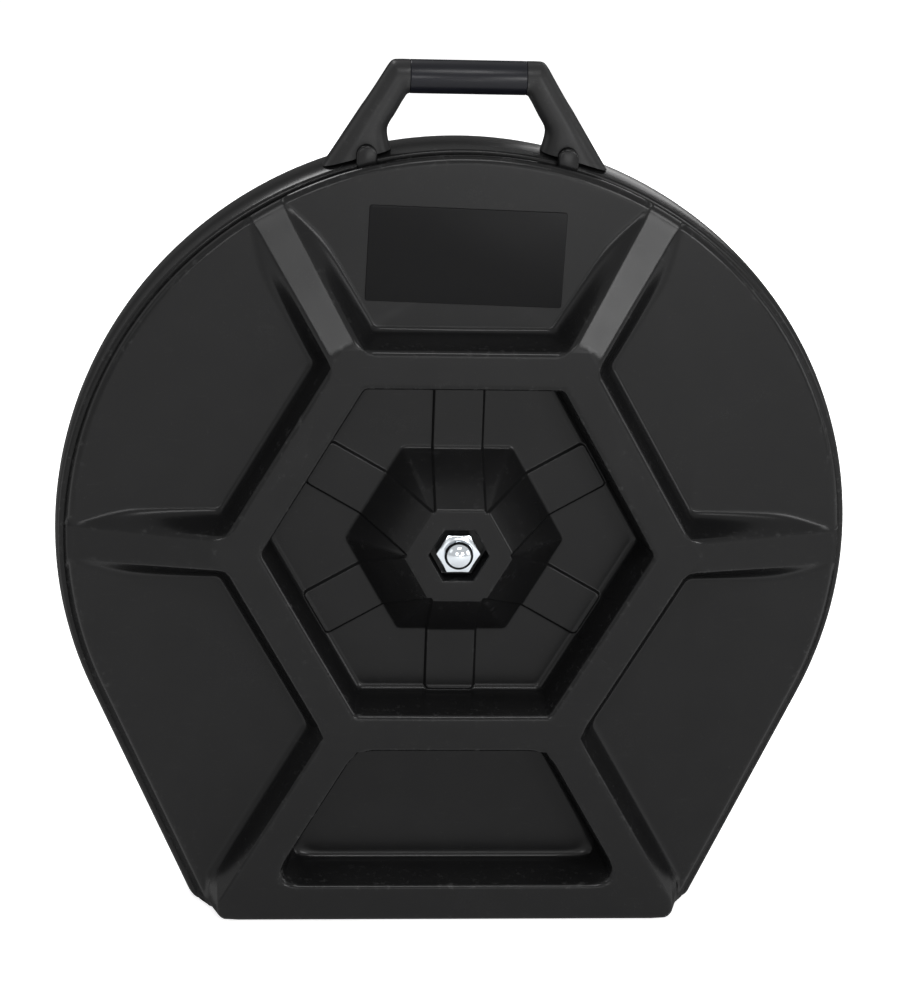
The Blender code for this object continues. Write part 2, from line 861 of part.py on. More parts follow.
def wing_nut():
    start = stack_depths()[-1]
    hub_radius = wing_hub_diameter / 2
    profile = [(0, wing_hub_height), (hub_radius - 2 * chamfer, wing_hub_height), (hub_radius, 0), (0, 0)]
    nut = turned("wing_nut", profile, world_y(start))
    for side in (-1, 1):
        root = spindle_diameter / 2 + chamfer
        corners = [(root, chamfer), (wing_reach * 2 / 3, chamfer), (wing_reach, wing_height),
                   (wing_reach * 2 / 3, wing_height), (root, wing_hub_height - chamfer)]
        radii = [0, chamfer * 3, chamfer * 3, chamfer * 3, 0]
        outline = rounded(corners, radii, edge_steps)
        bm = bmesh.new()
        rings = []
        for lift in (-wing_thickness / 2, wing_thickness / 2):
            rings.append([bm.verts.new((side * x, world_y(start + height), axis_height + lift))
                          for x, height in outline])
        for index in range(len(outline)):
            after = (index + 1) % len(outline)
            bm.faces.new((rings[0][index], rings[0][after], rings[1][after], rings[1][index]))
        bm.faces.new(rings[0])
        bm.faces.new(rings[1])
        name = "wing_right" if side > 0 else "wing_left"
        join(nut, [add_object(name, mesh_from(name, bm))])
    length = wing_height + 2 * overrun
    cut(nut, [rod("wing_bore", spindle_diameter / 2 + fit, world_y(start - overrun), length)])
    return nut


# Knob on the back

def knob_seat():
    """Depths of the well floor, the washer and the knob."""
    floor = case_depth - well_drop
    washer = floor + fit
    return floor, washer, washer + washer_thickness + fit


def lobed(radius):
    points = []
    count = knob_lobes * lobe_steps
    for step in range(count):
        angle = 2 * math.pi * step / count
        here = radius - knob_radius * lobe_share * (1 - math.cos(knob_lobes * angle)) / 2
        points.append((here * math.cos(angle), here * math.sin(angle)))
    return points


def rear_knob():
    start = knob_seat()[2]
    end = start + knob_height
    sections = [(world_y(start), lobed(knob_radius - 2 * chamfer)),
                (world_y(start + 2 * chamfer), lobed(knob_radius))]
    for step in range(edge_steps + 1):
        angle = math.pi / 2 * step / edge_steps
        back = knob_edge_radius * (1 - math.cos(angle))
        depth = end - knob_edge_radius + knob_edge_radius * math.sin(angle)
        sections.append((world_y(depth), lobed(knob_radius - back)))
    knob = loft("rear_knob", sections)
    pocket = insert_height + 2 * fit
    cut(knob, [prism("insert_pocket", insert_flats / 2 + fit, insert_flats / 2 + fit,
                     world_y(start - overrun), pocket + overrun)])
    bore = spindle_end_depth + 2 * fit - start
    cut(knob, [rod("knob_bore", spindle_diameter / 2 + fit, world_y(start - overrun), bore + overrun)])
    return knob


def knob_insert():
    start = knob_seat()[2] + fit
    insert = prism("knob_insert", insert_flats / 2, insert_flats / 2, world_y(start), insert_height)
    cut(insert, [rod("insert_bore", spindle_diameter / 2 + fit, world_y(start - overrun),
                     insert_height + 2 * overrun)])
    return insert


def knob_washer():
    return disc("knob_washer", knob_washer_diameter / 2, spindle_diameter / 2 + fit,
                world_y(knob_seat()[1]), washer_thickness)


# Pads and label

def pads():
    front = lid_floor_drop + wall + fit
    rear = case_depth - body_relief - wall - fit - pad_thickness
    front_inner = boss_base / math.cos(half_sixth)
    rear_inner = (well_inner + wall) / math.cos(half_sixth) + pad_clearance
    return [disc("front_pad", front_pad_outer, front_inner, world_y(front), pad_thickness),
            disc("rear_pad", rear_pad_outer, rear_inner, world_y(rear), pad_thickness)]


def label_plate():
    half = label_width / 2
    high = label_height / 2
    corners = [(-half, -high), (half, -high), (half, high), (-half, high)]
    outline = rounded(corners, [label_corner] * len(corners), edge_steps)
    turned_outline = []
    for x, z in outline:
        turned_outline.append((x * math.cos(label_turn) - z * math.sin(label_turn),
                               label_rise + x * math.sin(label_turn) + z * math.cos(label_turn)))
    back = world_y(lid_relief - fit)
    return loft("label_plate", [(back - label_thickness, turned_outline), (back, turned_outline)])


# Materials

def material(name, colour, roughness, metallic):
    made = bpy.data.materials.new(name)
    made.use_nodes = True
    shader = made.node_tree.nodes["Principled BSDF"]
    shader.inputs["Base Color"].default_value = (*colour, 1)
    shader.inputs["Roughness"].default_value = roughness
    shader.inputs["Metallic"].default_value = metallic
    return made


def dress(thing, name, colour, roughness, metallic=0):
    thing.data.materials.append(material(name, colour, roughness, metallic))


def shade_round(thing):
    """Smooth round faces and keep the edges between planes sharp."""
    for face in thing.data.polygons:
        face.use_smooth = True
    thing.data.set_sharp_from_angle(angle=sharp_angle)


def build():
    clear_scene()
    lid_face = Face("lid", 0, 1, lid_relief, lid_floor_drop, lid_rim_inset + lid_draft, lid_edge_radius)
    body_face = Face("body", case_depth, -1, body_relief, body_relief, body_rim_inset, body_edge_radius)
    black = (0.016, 0.016, 0.017)
    dress(front_shell(lid_face), "lid plastic", black, 0.42)
    dress(rear_shell(body_face), "body plastic", black, 0.42)
    dress(handle_frame(), "handle plastic", (0.03, 0.03, 0.031), 0.4)
    dress(handle_grip(), "grip rubber", (0.012, 0.012, 0.014), 0.6)
    for side in (-1, 1):
        dress(handle_bolt(side), "bolt steel", (0.5, 0.5, 0.5), 0.35, 1)
        dress(handle_washer(side), "bolt washer steel", (0.5, 0.5, 0.5), 0.35, 1)
    dress(label_plate(), "label film", (0.008, 0.008, 0.008), 0.25)
    dress(spindle(), "spindle steel", (0.55, 0.56, 0.58), 0.3, 1)
    dress(cap_nut(), "cap nut chrome", (0.75, 0.77, 0.8), 0.12, 1)
    dress(backing_plate(), "plate steel", (0.5, 0.5, 0.5), 0.4, 1)
    dress(hub(), "hub plastic", (0.02, 0.02, 0.02), 0.5)
    front_felt, rear_felt, clamp = felts_and_clamp()
    dress(front_felt, "felt", (0.1, 0.1, 0.1), 0.95)
    dress(rear_felt, "felt", (0.1, 0.1, 0.1), 0.95)
    dress(clamp, "clamp steel", (0.5, 0.5, 0.5), 0.35, 1)
    dress(wing_nut(), "wing nut zinc", (0.6, 0.6, 0.62), 0.35, 1)
    dress(rear_knob(), "knob plastic", (0.018, 0.018, 0.018), 0.5)
    dress(knob_insert(), "insert brass", (0.7, 0.55, 0.25), 0.35, 1)
    dress(knob_washer(), "washer steel", (0.5, 0.5, 0.5), 0.35, 1)
    for pad in pads():
        dress(pad, "foam", (0.03, 0.03, 0.03), 0.95)
    for thing in collection_named(CASE).objects:
        shade_round(thing)


build()
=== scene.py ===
"""Looks of a round moulded cymbal case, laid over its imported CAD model."""
import json
import math

import bmesh
import bpy
import numpy as np
from mathutils import Matrix, Vector

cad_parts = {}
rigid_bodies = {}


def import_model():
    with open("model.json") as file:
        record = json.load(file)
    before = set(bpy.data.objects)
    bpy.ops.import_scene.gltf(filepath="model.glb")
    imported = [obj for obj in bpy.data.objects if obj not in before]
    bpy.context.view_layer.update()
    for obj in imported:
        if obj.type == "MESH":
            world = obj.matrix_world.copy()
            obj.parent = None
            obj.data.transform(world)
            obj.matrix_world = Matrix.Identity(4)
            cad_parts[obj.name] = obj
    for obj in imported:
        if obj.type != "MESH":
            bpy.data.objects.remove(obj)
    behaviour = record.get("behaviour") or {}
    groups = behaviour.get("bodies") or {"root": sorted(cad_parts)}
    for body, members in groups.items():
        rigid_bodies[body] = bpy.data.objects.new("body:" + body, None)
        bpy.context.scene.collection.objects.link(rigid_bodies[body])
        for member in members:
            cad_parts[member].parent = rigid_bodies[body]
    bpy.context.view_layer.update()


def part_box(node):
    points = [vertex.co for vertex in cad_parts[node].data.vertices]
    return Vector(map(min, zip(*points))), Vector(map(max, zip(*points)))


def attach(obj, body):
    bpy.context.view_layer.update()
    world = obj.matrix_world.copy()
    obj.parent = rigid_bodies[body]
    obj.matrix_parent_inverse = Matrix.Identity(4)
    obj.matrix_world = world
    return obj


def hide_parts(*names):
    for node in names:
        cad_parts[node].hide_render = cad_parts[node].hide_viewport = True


for spare in list(bpy.data.objects):
    bpy.data.objects.remove(spare, do_unlink=True)
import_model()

bl_info = {
    "name": "Cymbal Case",
    "version": (1, 0, 0),
    "blender": (4, 5, 0),
    "location": "View3D > Sidebar > Case",
    "description": "A moulded hard case for drum cymbals, piece by piece",
    "category": "Add Mesh",
}

MM = 0.001


def length_prop(name, description, default):
    return bpy.props.FloatProperty(name=name, description=description, default=default, min=0, precision=4,
                                   unit="LENGTH")


def colour_prop(name, description, default):
    return bpy.props.FloatVectorProperty(name=name, description=description, default=default, size=3, min=0,
                                         max=1, subtype="COLOR")


class CaseSizes(bpy.types.PropertyGroup):
    """Sizes that a maker would change."""
    brow_radius: length_prop("Relief Edge", "Rounding of the upper edges of ring, ribs and legs", 4.6 * MM)
    panel_ease: length_prop("Relief Foot", "Softness of the line where ring and ribs meet the panels", 9 * MM)
    recess_foot: length_prop("Recess Foot", "Rounding between the recesses' walls and floors", 5.5 * MM)
    boss_brow_radius: length_prop("Boss Edge", "Rounding of the boss's upper edge", 3.4 * MM)
    boss_foot_ease: length_prop("Boss Foot", "Softness of the line where the boss meets the floor", 1.8 * MM)
    strap_height: length_prop("Strap Height", "How far the six straps stand proud", 2.5 * MM)
    lid_edge: length_prop("Lid Edge", "Rounding between the lid's panels and its side", 5.5 * MM)
    body_edge: length_prop("Body Edge", "Rounding between the body's back and its side", 12 * MM)
    grip_radius: length_prop("Grip Radius", "Radius of the handle's sleeve", 12.72 * MM)
    dome_radius: length_prop("Dome Radius", "Radius of the cap nut's dome", 11.2 * MM)
    knob_radius: length_prop("Knob Radius", "Radius of the hand knob over its lobes", 35 * MM)
    lobe_depth: length_prop("Knob Lobes", "Depth of the valleys between the knob's lobes", 5.6 * MM)


class CaseColours(bpy.types.PropertyGroup):
    """Colours of the finishes."""
    case: colour_prop("Case", "Moulded plastic of lid and body", (0.0052, 0.0052, 0.0054))
    worn: colour_prop("Worn Plastic", "Plastic where it is rubbed pale", (0.085, 0.085, 0.085))
    handle: colour_prop("Handle", "Moulded plastic of the handle's legs", (0.0150, 0.0150, 0.0153))
    grip: colour_prop("Grip", "Rubber of the handle's sleeve", (0.0036, 0.0038, 0.0056))
    knob: colour_prop("Knob", "Plastic of the hand knob", (0.0075, 0.0075, 0.0075))
    hub: colour_prop("Hub", "Plastic of the hub on the spindle", (0.013, 0.013, 0.014))
    label: colour_prop("Label", "Bare film in the label's place", (0.0024, 0.0024, 0.0026))
    chrome: colour_prop("Chrome", "Plating of the cap nut", (0.50, 0.53, 0.56))
    steel: colour_prop("Steel", "Zinc-plated steel", (0.55, 0.55, 0.53))
    brass: colour_prop("Brass", "Threaded insert of the knob", (0.62, 0.47, 0.22))
    felt: colour_prop("Felt", "Pressed felt of the washers", (0.36, 0.35, 0.33))
    foam: colour_prop("Foam", "Foam of the two pads", (0.020, 0.020, 0.021))
    floor: colour_prop("Floor", "Studio floor", (0.80, 0.80, 0.80))


# The case, with the sizes of its CAD
case_radius = 306 * MM
axis_height = 302 * MM
side_angle = math.radians(24.5)
corner_radius = 14 * MM
foot_middle_depth = 80 * MM
case_depth = 140 * MM
wall = 4.5 * MM
lid_edge_depth = 43 * MM
body_front_depth = 46 * MM
tongue_end_depth = 53 * MM
tongue_inset = 7.8 * MM
tongue_wall = 3.5 * MM
tongue_chamfer = 0.8 * MM
lid_panel_inset = 10 * MM
lid_panel_rise = 6 * MM
body_panel_inset = 9.5 * MM
body_front_inset = 3 * MM
body_bulge_depth = 68 * MM
body_taper_run = 60 * MM
body_inner_edge = 7.5 * MM
smallest_corner = 1 * MM

lid_relief = 28 * MM
lid_floor = 44.5 * MM
body_relief = 14 * MM
ring_outer = 159 * MM
ring_inner = 129.7 * MM
ring_flank = 9 * MM
ring_corner = 183.6 * MM
ring_corner_ease = 4 * MM
rib_half_width = 13 * MM
rib_base_half_width = 25 * MM
rib_start = 0.8 * ring_inner
rib_shoulder_share = 0.55
rib_overrun = 6 * MM
rib_tip_ease = 1.2 * MM
rib_tip_height = 0.5 * MM
rib_tip_flank = 1 * MM
rib_round_share = 0.4
leg_outer_offset = 11 * MM
leg_inner_offset = 15.5 * MM
leg_flank = 12 * MM
foot_bar_top = 271 * MM
foot_bottom = 300.5 * MM
foot_bottom_run = 1.5 * MM
foot_end = 178.4 * MM
foot_end_flank = 8 * MM
foot_corner_radius = 9 * MM
foot_zone = 266 * MM
toe_ease = 2 * MM
recess_draft = 6 * MM
recess_brow_radius = 4.6 * MM
recess_ring_ease = 3.5 * MM
recess_corner_ease = 24 * MM
recess_top_ease = 14 * MM

boss_top = 33.5 * MM
boss_base = 73 * MM
boss_roof = 22.5 * MM
boss_hollow_inset = 6 * MM
boss_crease_ease = 2.6 * MM
strap_half_width = 18.25 * MM
strap_edge = 1.1 * MM
strap_run = 1.8 * MM
strap_end = 121.7 * MM
strap_corner = 3 * MM
pocket_inner = 20 * MM
pocket_depth = 16.5 * MM
pocket_run = 0.4 * MM
pocket_brow_radius = 1.4 * MM
pocket_foot_radius = 1 * MM
well_inner = 56 * MM
well_zone = 0.6 * ring_inner
well_draft = 3 * MM
well_drop = 30 * MM
well_rounding = 3 * MM
journal_radius = 9.3 * MM
spindle_hole_radius = 5.3 * MM
hole_reach = {"lid": 12 * MM, "body": 8 * MM}

arm_ease = 14 * MM
opening_corner_ease = 1 * MM
last_foot_share = 0.88
guard = 1.6 * MM
weld_distance = 0.02 * MM
score_distance = 0.01 * MM
arc_steps = 132
corner_steps = 8
edge_steps = 6
brow_steps = 5
hole_steps = 32
rib_steps = 20
corner_score_gap = 2 * MM
# Where the surface turns too softly for the stations below, lines at these distances in mm
boss_foot_shifts = (-5.5, -4, -3.1, -2.2, -1.3, -0.6, 0, 0.8, 1.6, 3)
rib_flank_distances = (4, 5, 6, 7, 8, 9, 10, 11, 12, 13, 14, 15.2, 16.6)
leg_recess_depths = (13.5, 16, 20, 25, 31)
# Directions in which the sides of the ring look, on the half of the plan that is modelled
side_directions = (90, 30, -30, -90)
wedge_slope = 0.58
far = 1.0


def world_y(depth):
    """Depths are measured backwards from the plane of the lid's ring."""
    return depth - foot_middle_depth


# Rounded steps of the relief, with numpy arrays of plan distances

def brow(gap, run, height, radius):
    """How far a flank has dropped below its rounded upper edge. It goes on without end."""
    lean = np.arctan2(height, run)
    reach = radius * np.tan(lean / 2)
    arc = radius - np.sqrt(np.maximum(radius ** 2 - (gap + reach) ** 2, 0))
    return np.where(gap < -reach, 0, np.where(gap < reach * np.cos(lean), arc, gap * height / run))


def ledge(gap, run, height, brow_round, foot_round):
    """A flank that is rounded above and below and ends at its height."""
    upper = brow(gap, run, height, brow_round)
    lower = height - brow(run - gap, run, height, foot_round)
    return np.where(gap < run / 2, upper, lower)


def brow_stations(run, height, radius):
    """Plan distances at which a rounded edge gets a line of vertices."""
    lean = math.atan2(height, run)
    reach = radius * math.tan(lean / 2)
    return [-reach - guard] + [radius * math.sin(lean * k / brow_steps) - reach for k in range(brow_steps + 1)]


def ledge_stations(run, height, brow_round, foot_round):
    """The same for a flank that is rounded above and below."""
    lower = [run - station for station in brow_stations(run, height, foot_round)]
    return brow_stations(run, height, brow_round) + lower


def foot_stations(run, height, ease):
    """The same for the soft line at the foot of a flank."""
    reach = ease * run / height
    return [run - reach, run - reach / 2, run, run + reach / 2, run + reach, run + reach + guard]


def soft_low(first, second, ease):
    """The lower of two numbers, eased where they are close."""
    share = np.maximum(ease - np.abs(first - second), 0) / ease
    return np.minimum(first, second) - share ** 2 * ease / 4


def soft_high(first, second, ease):
    """The higher of two numbers, eased where they are close."""
    return -soft_low(-first, -second, ease)


def along(x, z, degrees):
    """How far out a place lies in a direction of the plan."""
    angle = math.radians(degrees)
    return x * math.cos(angle) + z * math.sin(angle)


def hexagon_reach(x, z, ease):
    """Distance from the axis, measured square to the nearest side of a hexagon."""
    reach = soft_high(along(x, z, 90), along(x, z, 30), ease)
    reach = soft_high(reach, along(x, z, -30), ease)
    return soft_high(reach, along(x, z, -90), ease)


# The outline of the case: a circle with straight lower sides and a flat foot

def outline_sizes(inset, lift, rise):
    """Circle radius, distance of the straight side, corner radius and corner centre of an outline."""
    radius = case_radius - inset
    side = radius - rise * math.sin(side_angle)
    corner = max(corner_radius - max(inset, lift), smallest_corner)
    low = lift - axis_height + corner
    reach = (side - corner + low * math.sin(side_angle)) / math.cos(side_angle)
    return radius, side, corner, low, reach


def inside(x, z, inset, lift, rise):
    """How far within an outline a point lies, as an array."""
    radius, side, corner, low, reach = outline_sizes(inset, lift, rise)
    x = np.abs(x)
    gap = np.where(z - rise > -x * math.tan(side_angle), radius - np.hypot(x, z - rise),
                   side - along(x, z, -math.degrees(side_angle)))
    gap = np.minimum(gap, z + axis_height - lift)
    turn = np.arctan2(z - low, x - reach)
    wedge = (turn < -side_angle) & (turn > -math.pi / 2)
    return np.where(wedge, corner - np.hypot(x - reach, z - low), gap)


def arc(bm, centre, radius, start, sweep, steps):
    """A row of edges turned about a centre in the case's plane."""
    first = bm.verts.new((centre[0] + radius * math.cos(start), 0, centre[1] + radius * math.sin(start)))
    turned = bmesh.ops.spin(bm, geom=[first], cent=(centre[0], 0, centre[1]), axis=(0, -1, 0),
                            angle=sweep, steps=steps, use_merge=False, use_duplicate=False)
    return first, turned["geom_last"][0]


def outline_loop(bm, inset, lift, rise):
    """One closed outline as edges in the plane y = 0."""
    radius, side, corner, low, reach = outline_sizes(inset, lift, rise)
    before = set(bm.edges)
    turn = math.pi / 2 - side_angle
    ends = [arc(bm, (0, rise), radius, -side_angle, math.pi + 2 * side_angle, arc_steps),
            arc(bm, (-reach, low), corner, math.pi + side_angle, turn, corner_steps),
            arc(bm, (reach, low), corner, -math.pi / 2, turn, corner_steps)]
    for index, (first, last) in enumerate(ends):
        bm.edges.new((last, ends[(index + 1) % len(ends)][0]))
    return [edge for edge in bm.edges if edge not in before]


def side_ends(radius, corner, low, reach, rise):
    """The two ends of the straight side, as (x, z)."""
    out = Vector((math.cos(side_angle), -math.sin(side_angle)))
    return Vector((0, rise)) + out * radius, Vector((reach, low)) + out * corner


def rim_mark(x, z, inset, lift, rise):
    """The stretch of an outline that a point is on, and its share of that stretch."""
    radius, side, corner, low, reach = outline_sizes(inset, lift, rise)
    x = abs(x)
    angle = math.atan2(z - rise, x)
    if angle > -side_angle:
        return "round", angle
    turn = math.atan2(z - low, x - reach)
    if x <= reach + weld_distance and z < low:
        return "foot", x / reach
    if turn < -side_angle:
        return "corner", turn
    start, end = side_ends(radius, corner, low, reach, rise)
    return "side", (Vector((x, z)) - start).length / (end - start).length


def rim_point(mark, share, inset, lift, rise):
    """The place on an outline that a mark and its share stand for."""
    radius, side, corner, low, reach = outline_sizes(inset, lift, rise)
    if mark == "round":
        return radius * math.cos(share), rise + radius * math.sin(share)
    if mark == "foot":
        return reach * share, lift - axis_height
    if mark == "corner":
        return reach + corner * math.cos(share), low + corner * math.sin(share)
    start, end = side_ends(radius, corner, low, reach, rise)
    return tuple(start.lerp(end, share))


class Skin:
    """One side of a moulded wall: drops are measured inwards from the ring's plane."""

    def __init__(self, relief, floor, inset, lift, rise, edge, thickness, kind):
        self.relief = relief
        self.floor = floor
        self.inset = inset
        self.outline = (inset, lift, rise)
        self.edge = edge
        self.thickness = thickness
        self.kind = kind
        self.sizes = bpy.context.scene.cymbal_case_sizes
        self.foot_ease = self.sizes.panel_ease * relief / lid_relief

    def flank(self, gap, run):
        return brow(gap, run, self.relief, self.sizes.brow_radius)

    def flank_stations(self, run):
        return brow_stations(run, self.relief, self.sizes.brow_radius)

    def recess_wall(self, gap):
        return ledge(gap, recess_draft, self.floor, recess_brow_radius, self.sizes.recess_foot)

    def recess_stations(self):
        return ledge_stations(recess_draft, self.floor, recess_brow_radius, self.sizes.recess_foot)

    def boss(self, x, z):
        """The tapered block in the middle of the lid, or the room behind it."""
        reach = hexagon_reach(x, z, boss_crease_ease)
        run = boss_base - boss_top
        if self.thickness:
            slope = self.floor / run
            under = (reach + boss_hollow_inset - boss_top) * slope - self.thickness
            return np.maximum(boss_roof - self.thickness, under)
        band = self.strap_band(x, z)
        return brow(reach - boss_top - self.sizes.strap_height * band, run, self.floor, self.sizes.boss_brow_radius)

    def strap_band(self, x, z):
        """One on the six straps and zero between them."""
        sideways = np.full(x.shape, far)
        reaches = np.stack([along(x, z, middle) for middle in side_directions])
        nearest = np.argmax(reaches, axis=0)
        for index, middle in enumerate(side_directions):
            sideways = np.where(nearest == index, np.abs(along(x, z, middle + 90)), sideways)
        over = sideways - strap_half_width + strap_corner
        beyond = reaches.max(axis=0) - strap_end + strap_corner
        gap = np.where((over > 0) & (beyond > 0), np.hypot(over, beyond), np.maximum(over, beyond)) - strap_corner
        return 1 - ledge(gap, strap_run, self.sizes.strap_height, strap_edge, strap_edge) / self.sizes.strap_height

    def panel(self, x, z):
        """The flat between ribs and rim, rounded towards the rim."""
        gap = inside(x, z, *self.outline)
        back = np.clip(self.edge - gap, 0, self.edge)
        return self.relief + self.edge - np.sqrt(self.edge ** 2 - back ** 2)

    def rib_tip(self, degrees):
        """Where a rib's top meets the panel, at the rounding of the rim."""
        flat = case_radius - self.inset - self.edge + self.outline[2] * math.sin(math.radians(degrees))
        return flat + rib_overrun * (self.kind == "body")

    def rib(self, x, z, degrees):
        """A rib that sinks and narrows on its way from the ring's corner to the rim."""
        out = along(x, z, degrees)
        sideways = np.abs(along(x, z, degrees + 90))
        over = rib_overrun * (self.kind == "body")
        tip_drop = self.relief + self.edge - math.sqrt(self.edge ** 2 - over ** 2)
        share = (out - ring_corner) / (self.rib_tip(degrees) - ring_corner)
        sunk = soft_high(share * tip_drop, np.zeros(x.shape), rib_tip_ease)
        late = np.clip((share - rib_shoulder_share) / (1 - rib_shoulder_share), 0, 1)
        narrowing = 1 - np.cos(late * math.pi / 2)
        run = (rib_base_half_width - rib_half_width) * (1 - narrowing) + rib_tip_flank * narrowing
        height = np.maximum(self.relief - sunk, rib_tip_height)
        lean = np.arctan2(height, run)
        radius = np.minimum(self.sizes.brow_radius, rib_round_share * height / (1 - np.cos(lean)))
        flank = brow(sideways - rib_half_width + self.thickness, run, height, radius)
        return np.where(out > rib_start, sunk + flank, far)

    def lower_frame(self, x, z):
        """Legs and foot bar, down to the foot."""
        leg = self.flank(along(x, z, 30) - leg_outer_offset + self.thickness, leg_flank)
        end = foot_end - self.thickness
        bottom = foot_bottom - self.thickness
        corner = foot_corner_radius
        over, under = x - end + corner, -z - bottom + corner
        rounded = (over > 0) & (under > 0)
        gap = np.where(rounded, np.hypot(over, under) - corner, np.maximum(over, under) - corner)
        turn = np.where(rounded, np.arctan2(under, over), np.where(over > under, 0, math.pi / 2))
        run = foot_end_flank * np.cos(turn) ** 2 + foot_bottom_run * np.sin(turn) ** 2
        return np.where(z > 0, far, soft_high(leg, self.flank(gap, run), toe_ease))

    def recess(self, x, z):
        """The sunken floor inside the ring, with the lid's straps and boss."""
        floor = self.recess_wall(ring_inner + self.thickness - hexagon_reach(x, z, recess_ring_ease))
        if self.kind == "body":
            return floor
        if not self.thickness:
            floor = floor - self.sizes.strap_height * self.strap_band(x, z)
        return soft_low(floor, self.boss(x, z), self.sizes.boss_foot_ease)

    def leg_recess(self, x, z):
        """The recess between the legs, the ring and the foot bar."""
        leg = -leg_inner_offset - along(x, z, 30)
        gap = soft_low(leg, z + foot_bar_top, recess_corner_ease)
        gap = soft_low(gap, -z - ring_outer, recess_top_ease) + self.thickness
        return self.recess_wall(gap)

    def drop(self, x, z):
        """How far the surface lies below the ring's plane, all over the plan."""
        x = np.abs(x)
        raised = self.flank(hexagon_reach(x, z, ring_corner_ease) - ring_outer + self.thickness, ring_flank)
        for arm in (self.rib(x, z, 0), self.rib(x, z, 60), self.lower_frame(x, z)):
            raised = soft_low(raised, arm, arm_ease)
        out = np.maximum(along(x, z, 0), along(x, z, 60))
        share = np.clip((out - ring_corner) / (self.rib_tip(0) - ring_corner), 0, last_foot_share)
        face = soft_low(np.maximum(raised, 0), self.panel(x, z), self.foot_ease * (1 - share))
        face = np.maximum(face, self.recess(x, z))
        face = np.maximum(face, self.leg_recess(x, z))
        reach = hexagon_reach(x, z, opening_corner_ease)
        if self.kind == "lid" and not self.thickness:
            pocket = ledge(pocket_inner - reach, pocket_run, pocket_depth, pocket_brow_radius, pocket_foot_radius)
            face = np.maximum(face, pocket)
        if self.kind == "body":
            gap = well_inner + self.thickness - reach
            well = self.floor + ledge(gap, well_draft, well_drop - self.floor, well_rounding, well_rounding)
            face = np.where(reach < well_zone, np.maximum(face, well), face)
        return face + self.thickness

    # Lines that the plan is scored along, as (direction in degrees, distance from the axis)

    def inner_scores(self, middle):
        """The lines of one side of the ring, from its inner wall to the middle."""
        grow = self.thickness
        lines = [(middle, ring_inner + grow - station) for station in self.recess_stations()]
        if self.kind == "body":
            stations = ledge_stations(well_draft, well_drop - self.floor, well_rounding, well_rounding)
            return lines + [(middle, well_inner + grow - station) for station in stations]
        foot = boss_base - boss_hollow_inset * bool(grow)
        lines += [(middle, foot + shift * MM) for shift in boss_foot_shifts]
        lines += [(middle + side, distance) for side in (-60, 60)
                  for distance in (boss_crease_ease / 2, boss_crease_ease)]
        if grow:
            edge = boss_top + boss_roof * (boss_base - boss_top) / self.floor - boss_hollow_inset
            return lines + [(middle, edge - guard), (middle, edge), (middle, edge + guard)]
        stations = brow_stations(boss_base - boss_top, self.floor, self.sizes.boss_brow_radius)
        lines += [(middle, boss_top + rise + station) for rise in (0, self.sizes.strap_height)
                  for station in stations]
        stations = ledge_stations(pocket_run, pocket_depth, pocket_brow_radius, pocket_foot_radius)
        lines += [(middle, pocket_inner - station) for station in stations]
        stations = [-strap_corner, -0.7 * strap_corner, -0.4 * strap_corner]
        stations += ledge_stations(strap_run, self.sizes.strap_height, strap_edge, strap_edge)
        lines += [(middle + side, strap_half_width + station) for side in (-90, 90) for station in stations]
        return lines + [(middle, strap_end + station) for station in stations]

    def outer_scores(self, middle):
        """The lines of one side of the ring, from its outer flank to the rim."""
        grow = self.thickness
        lines = []
        if middle == -90:
            recess = self.recess_stations()
            lines += [(middle, ring_outer - grow + station) for station in recess]
            lines += [(-150, leg_inner_offset - grow + station) for station in recess]
            lines += [(-90, foot_bar_top + grow - station) for station in recess]
            for depth in leg_recess_depths:
                lines += [(-150, leg_inner_offset + depth * MM), (-90, foot_bar_top - depth * MM)]
            lines += [(-90, ring_outer + depth * MM) for depth in leg_recess_depths[:3]]
        else:
            ring = self.flank_stations(ring_flank) + foot_stations(ring_flank, self.relief, self.foot_ease)
            lines += [(middle, ring_outer - grow + station) for station in ring]
        if middle == -30:
            leg = self.flank_stations(leg_flank) + foot_stations(leg_flank, self.relief, self.foot_ease)
            lines += [(30, leg_outer_offset - grow + station) for station in leg]
        rib = self.flank_stations(leg_flank) + [distance * MM for distance in rib_flank_distances]
        for border, facing in ((middle - 30, middle + 60), (middle + 30, middle - 60)):
            if border in (0, 60) and middle != -90:
                lines += [(facing, rib_half_width - grow + station) for station in rib]
                reach = self.rib_tip(border) - ring_corner
                lines += [(border, ring_corner + shift * MM) for shift in (-5, 0, 5)]
                lines += [(border, ring_corner + reach * step / rib_steps) for step in range(1, rib_steps + 1)]
        if middle < 0:
            foot = self.flank_stations(foot_bottom_run)
            lines += [(-90, foot_bottom - grow + station) for station in foot] + [(-90, foot_zone)]
        return lines

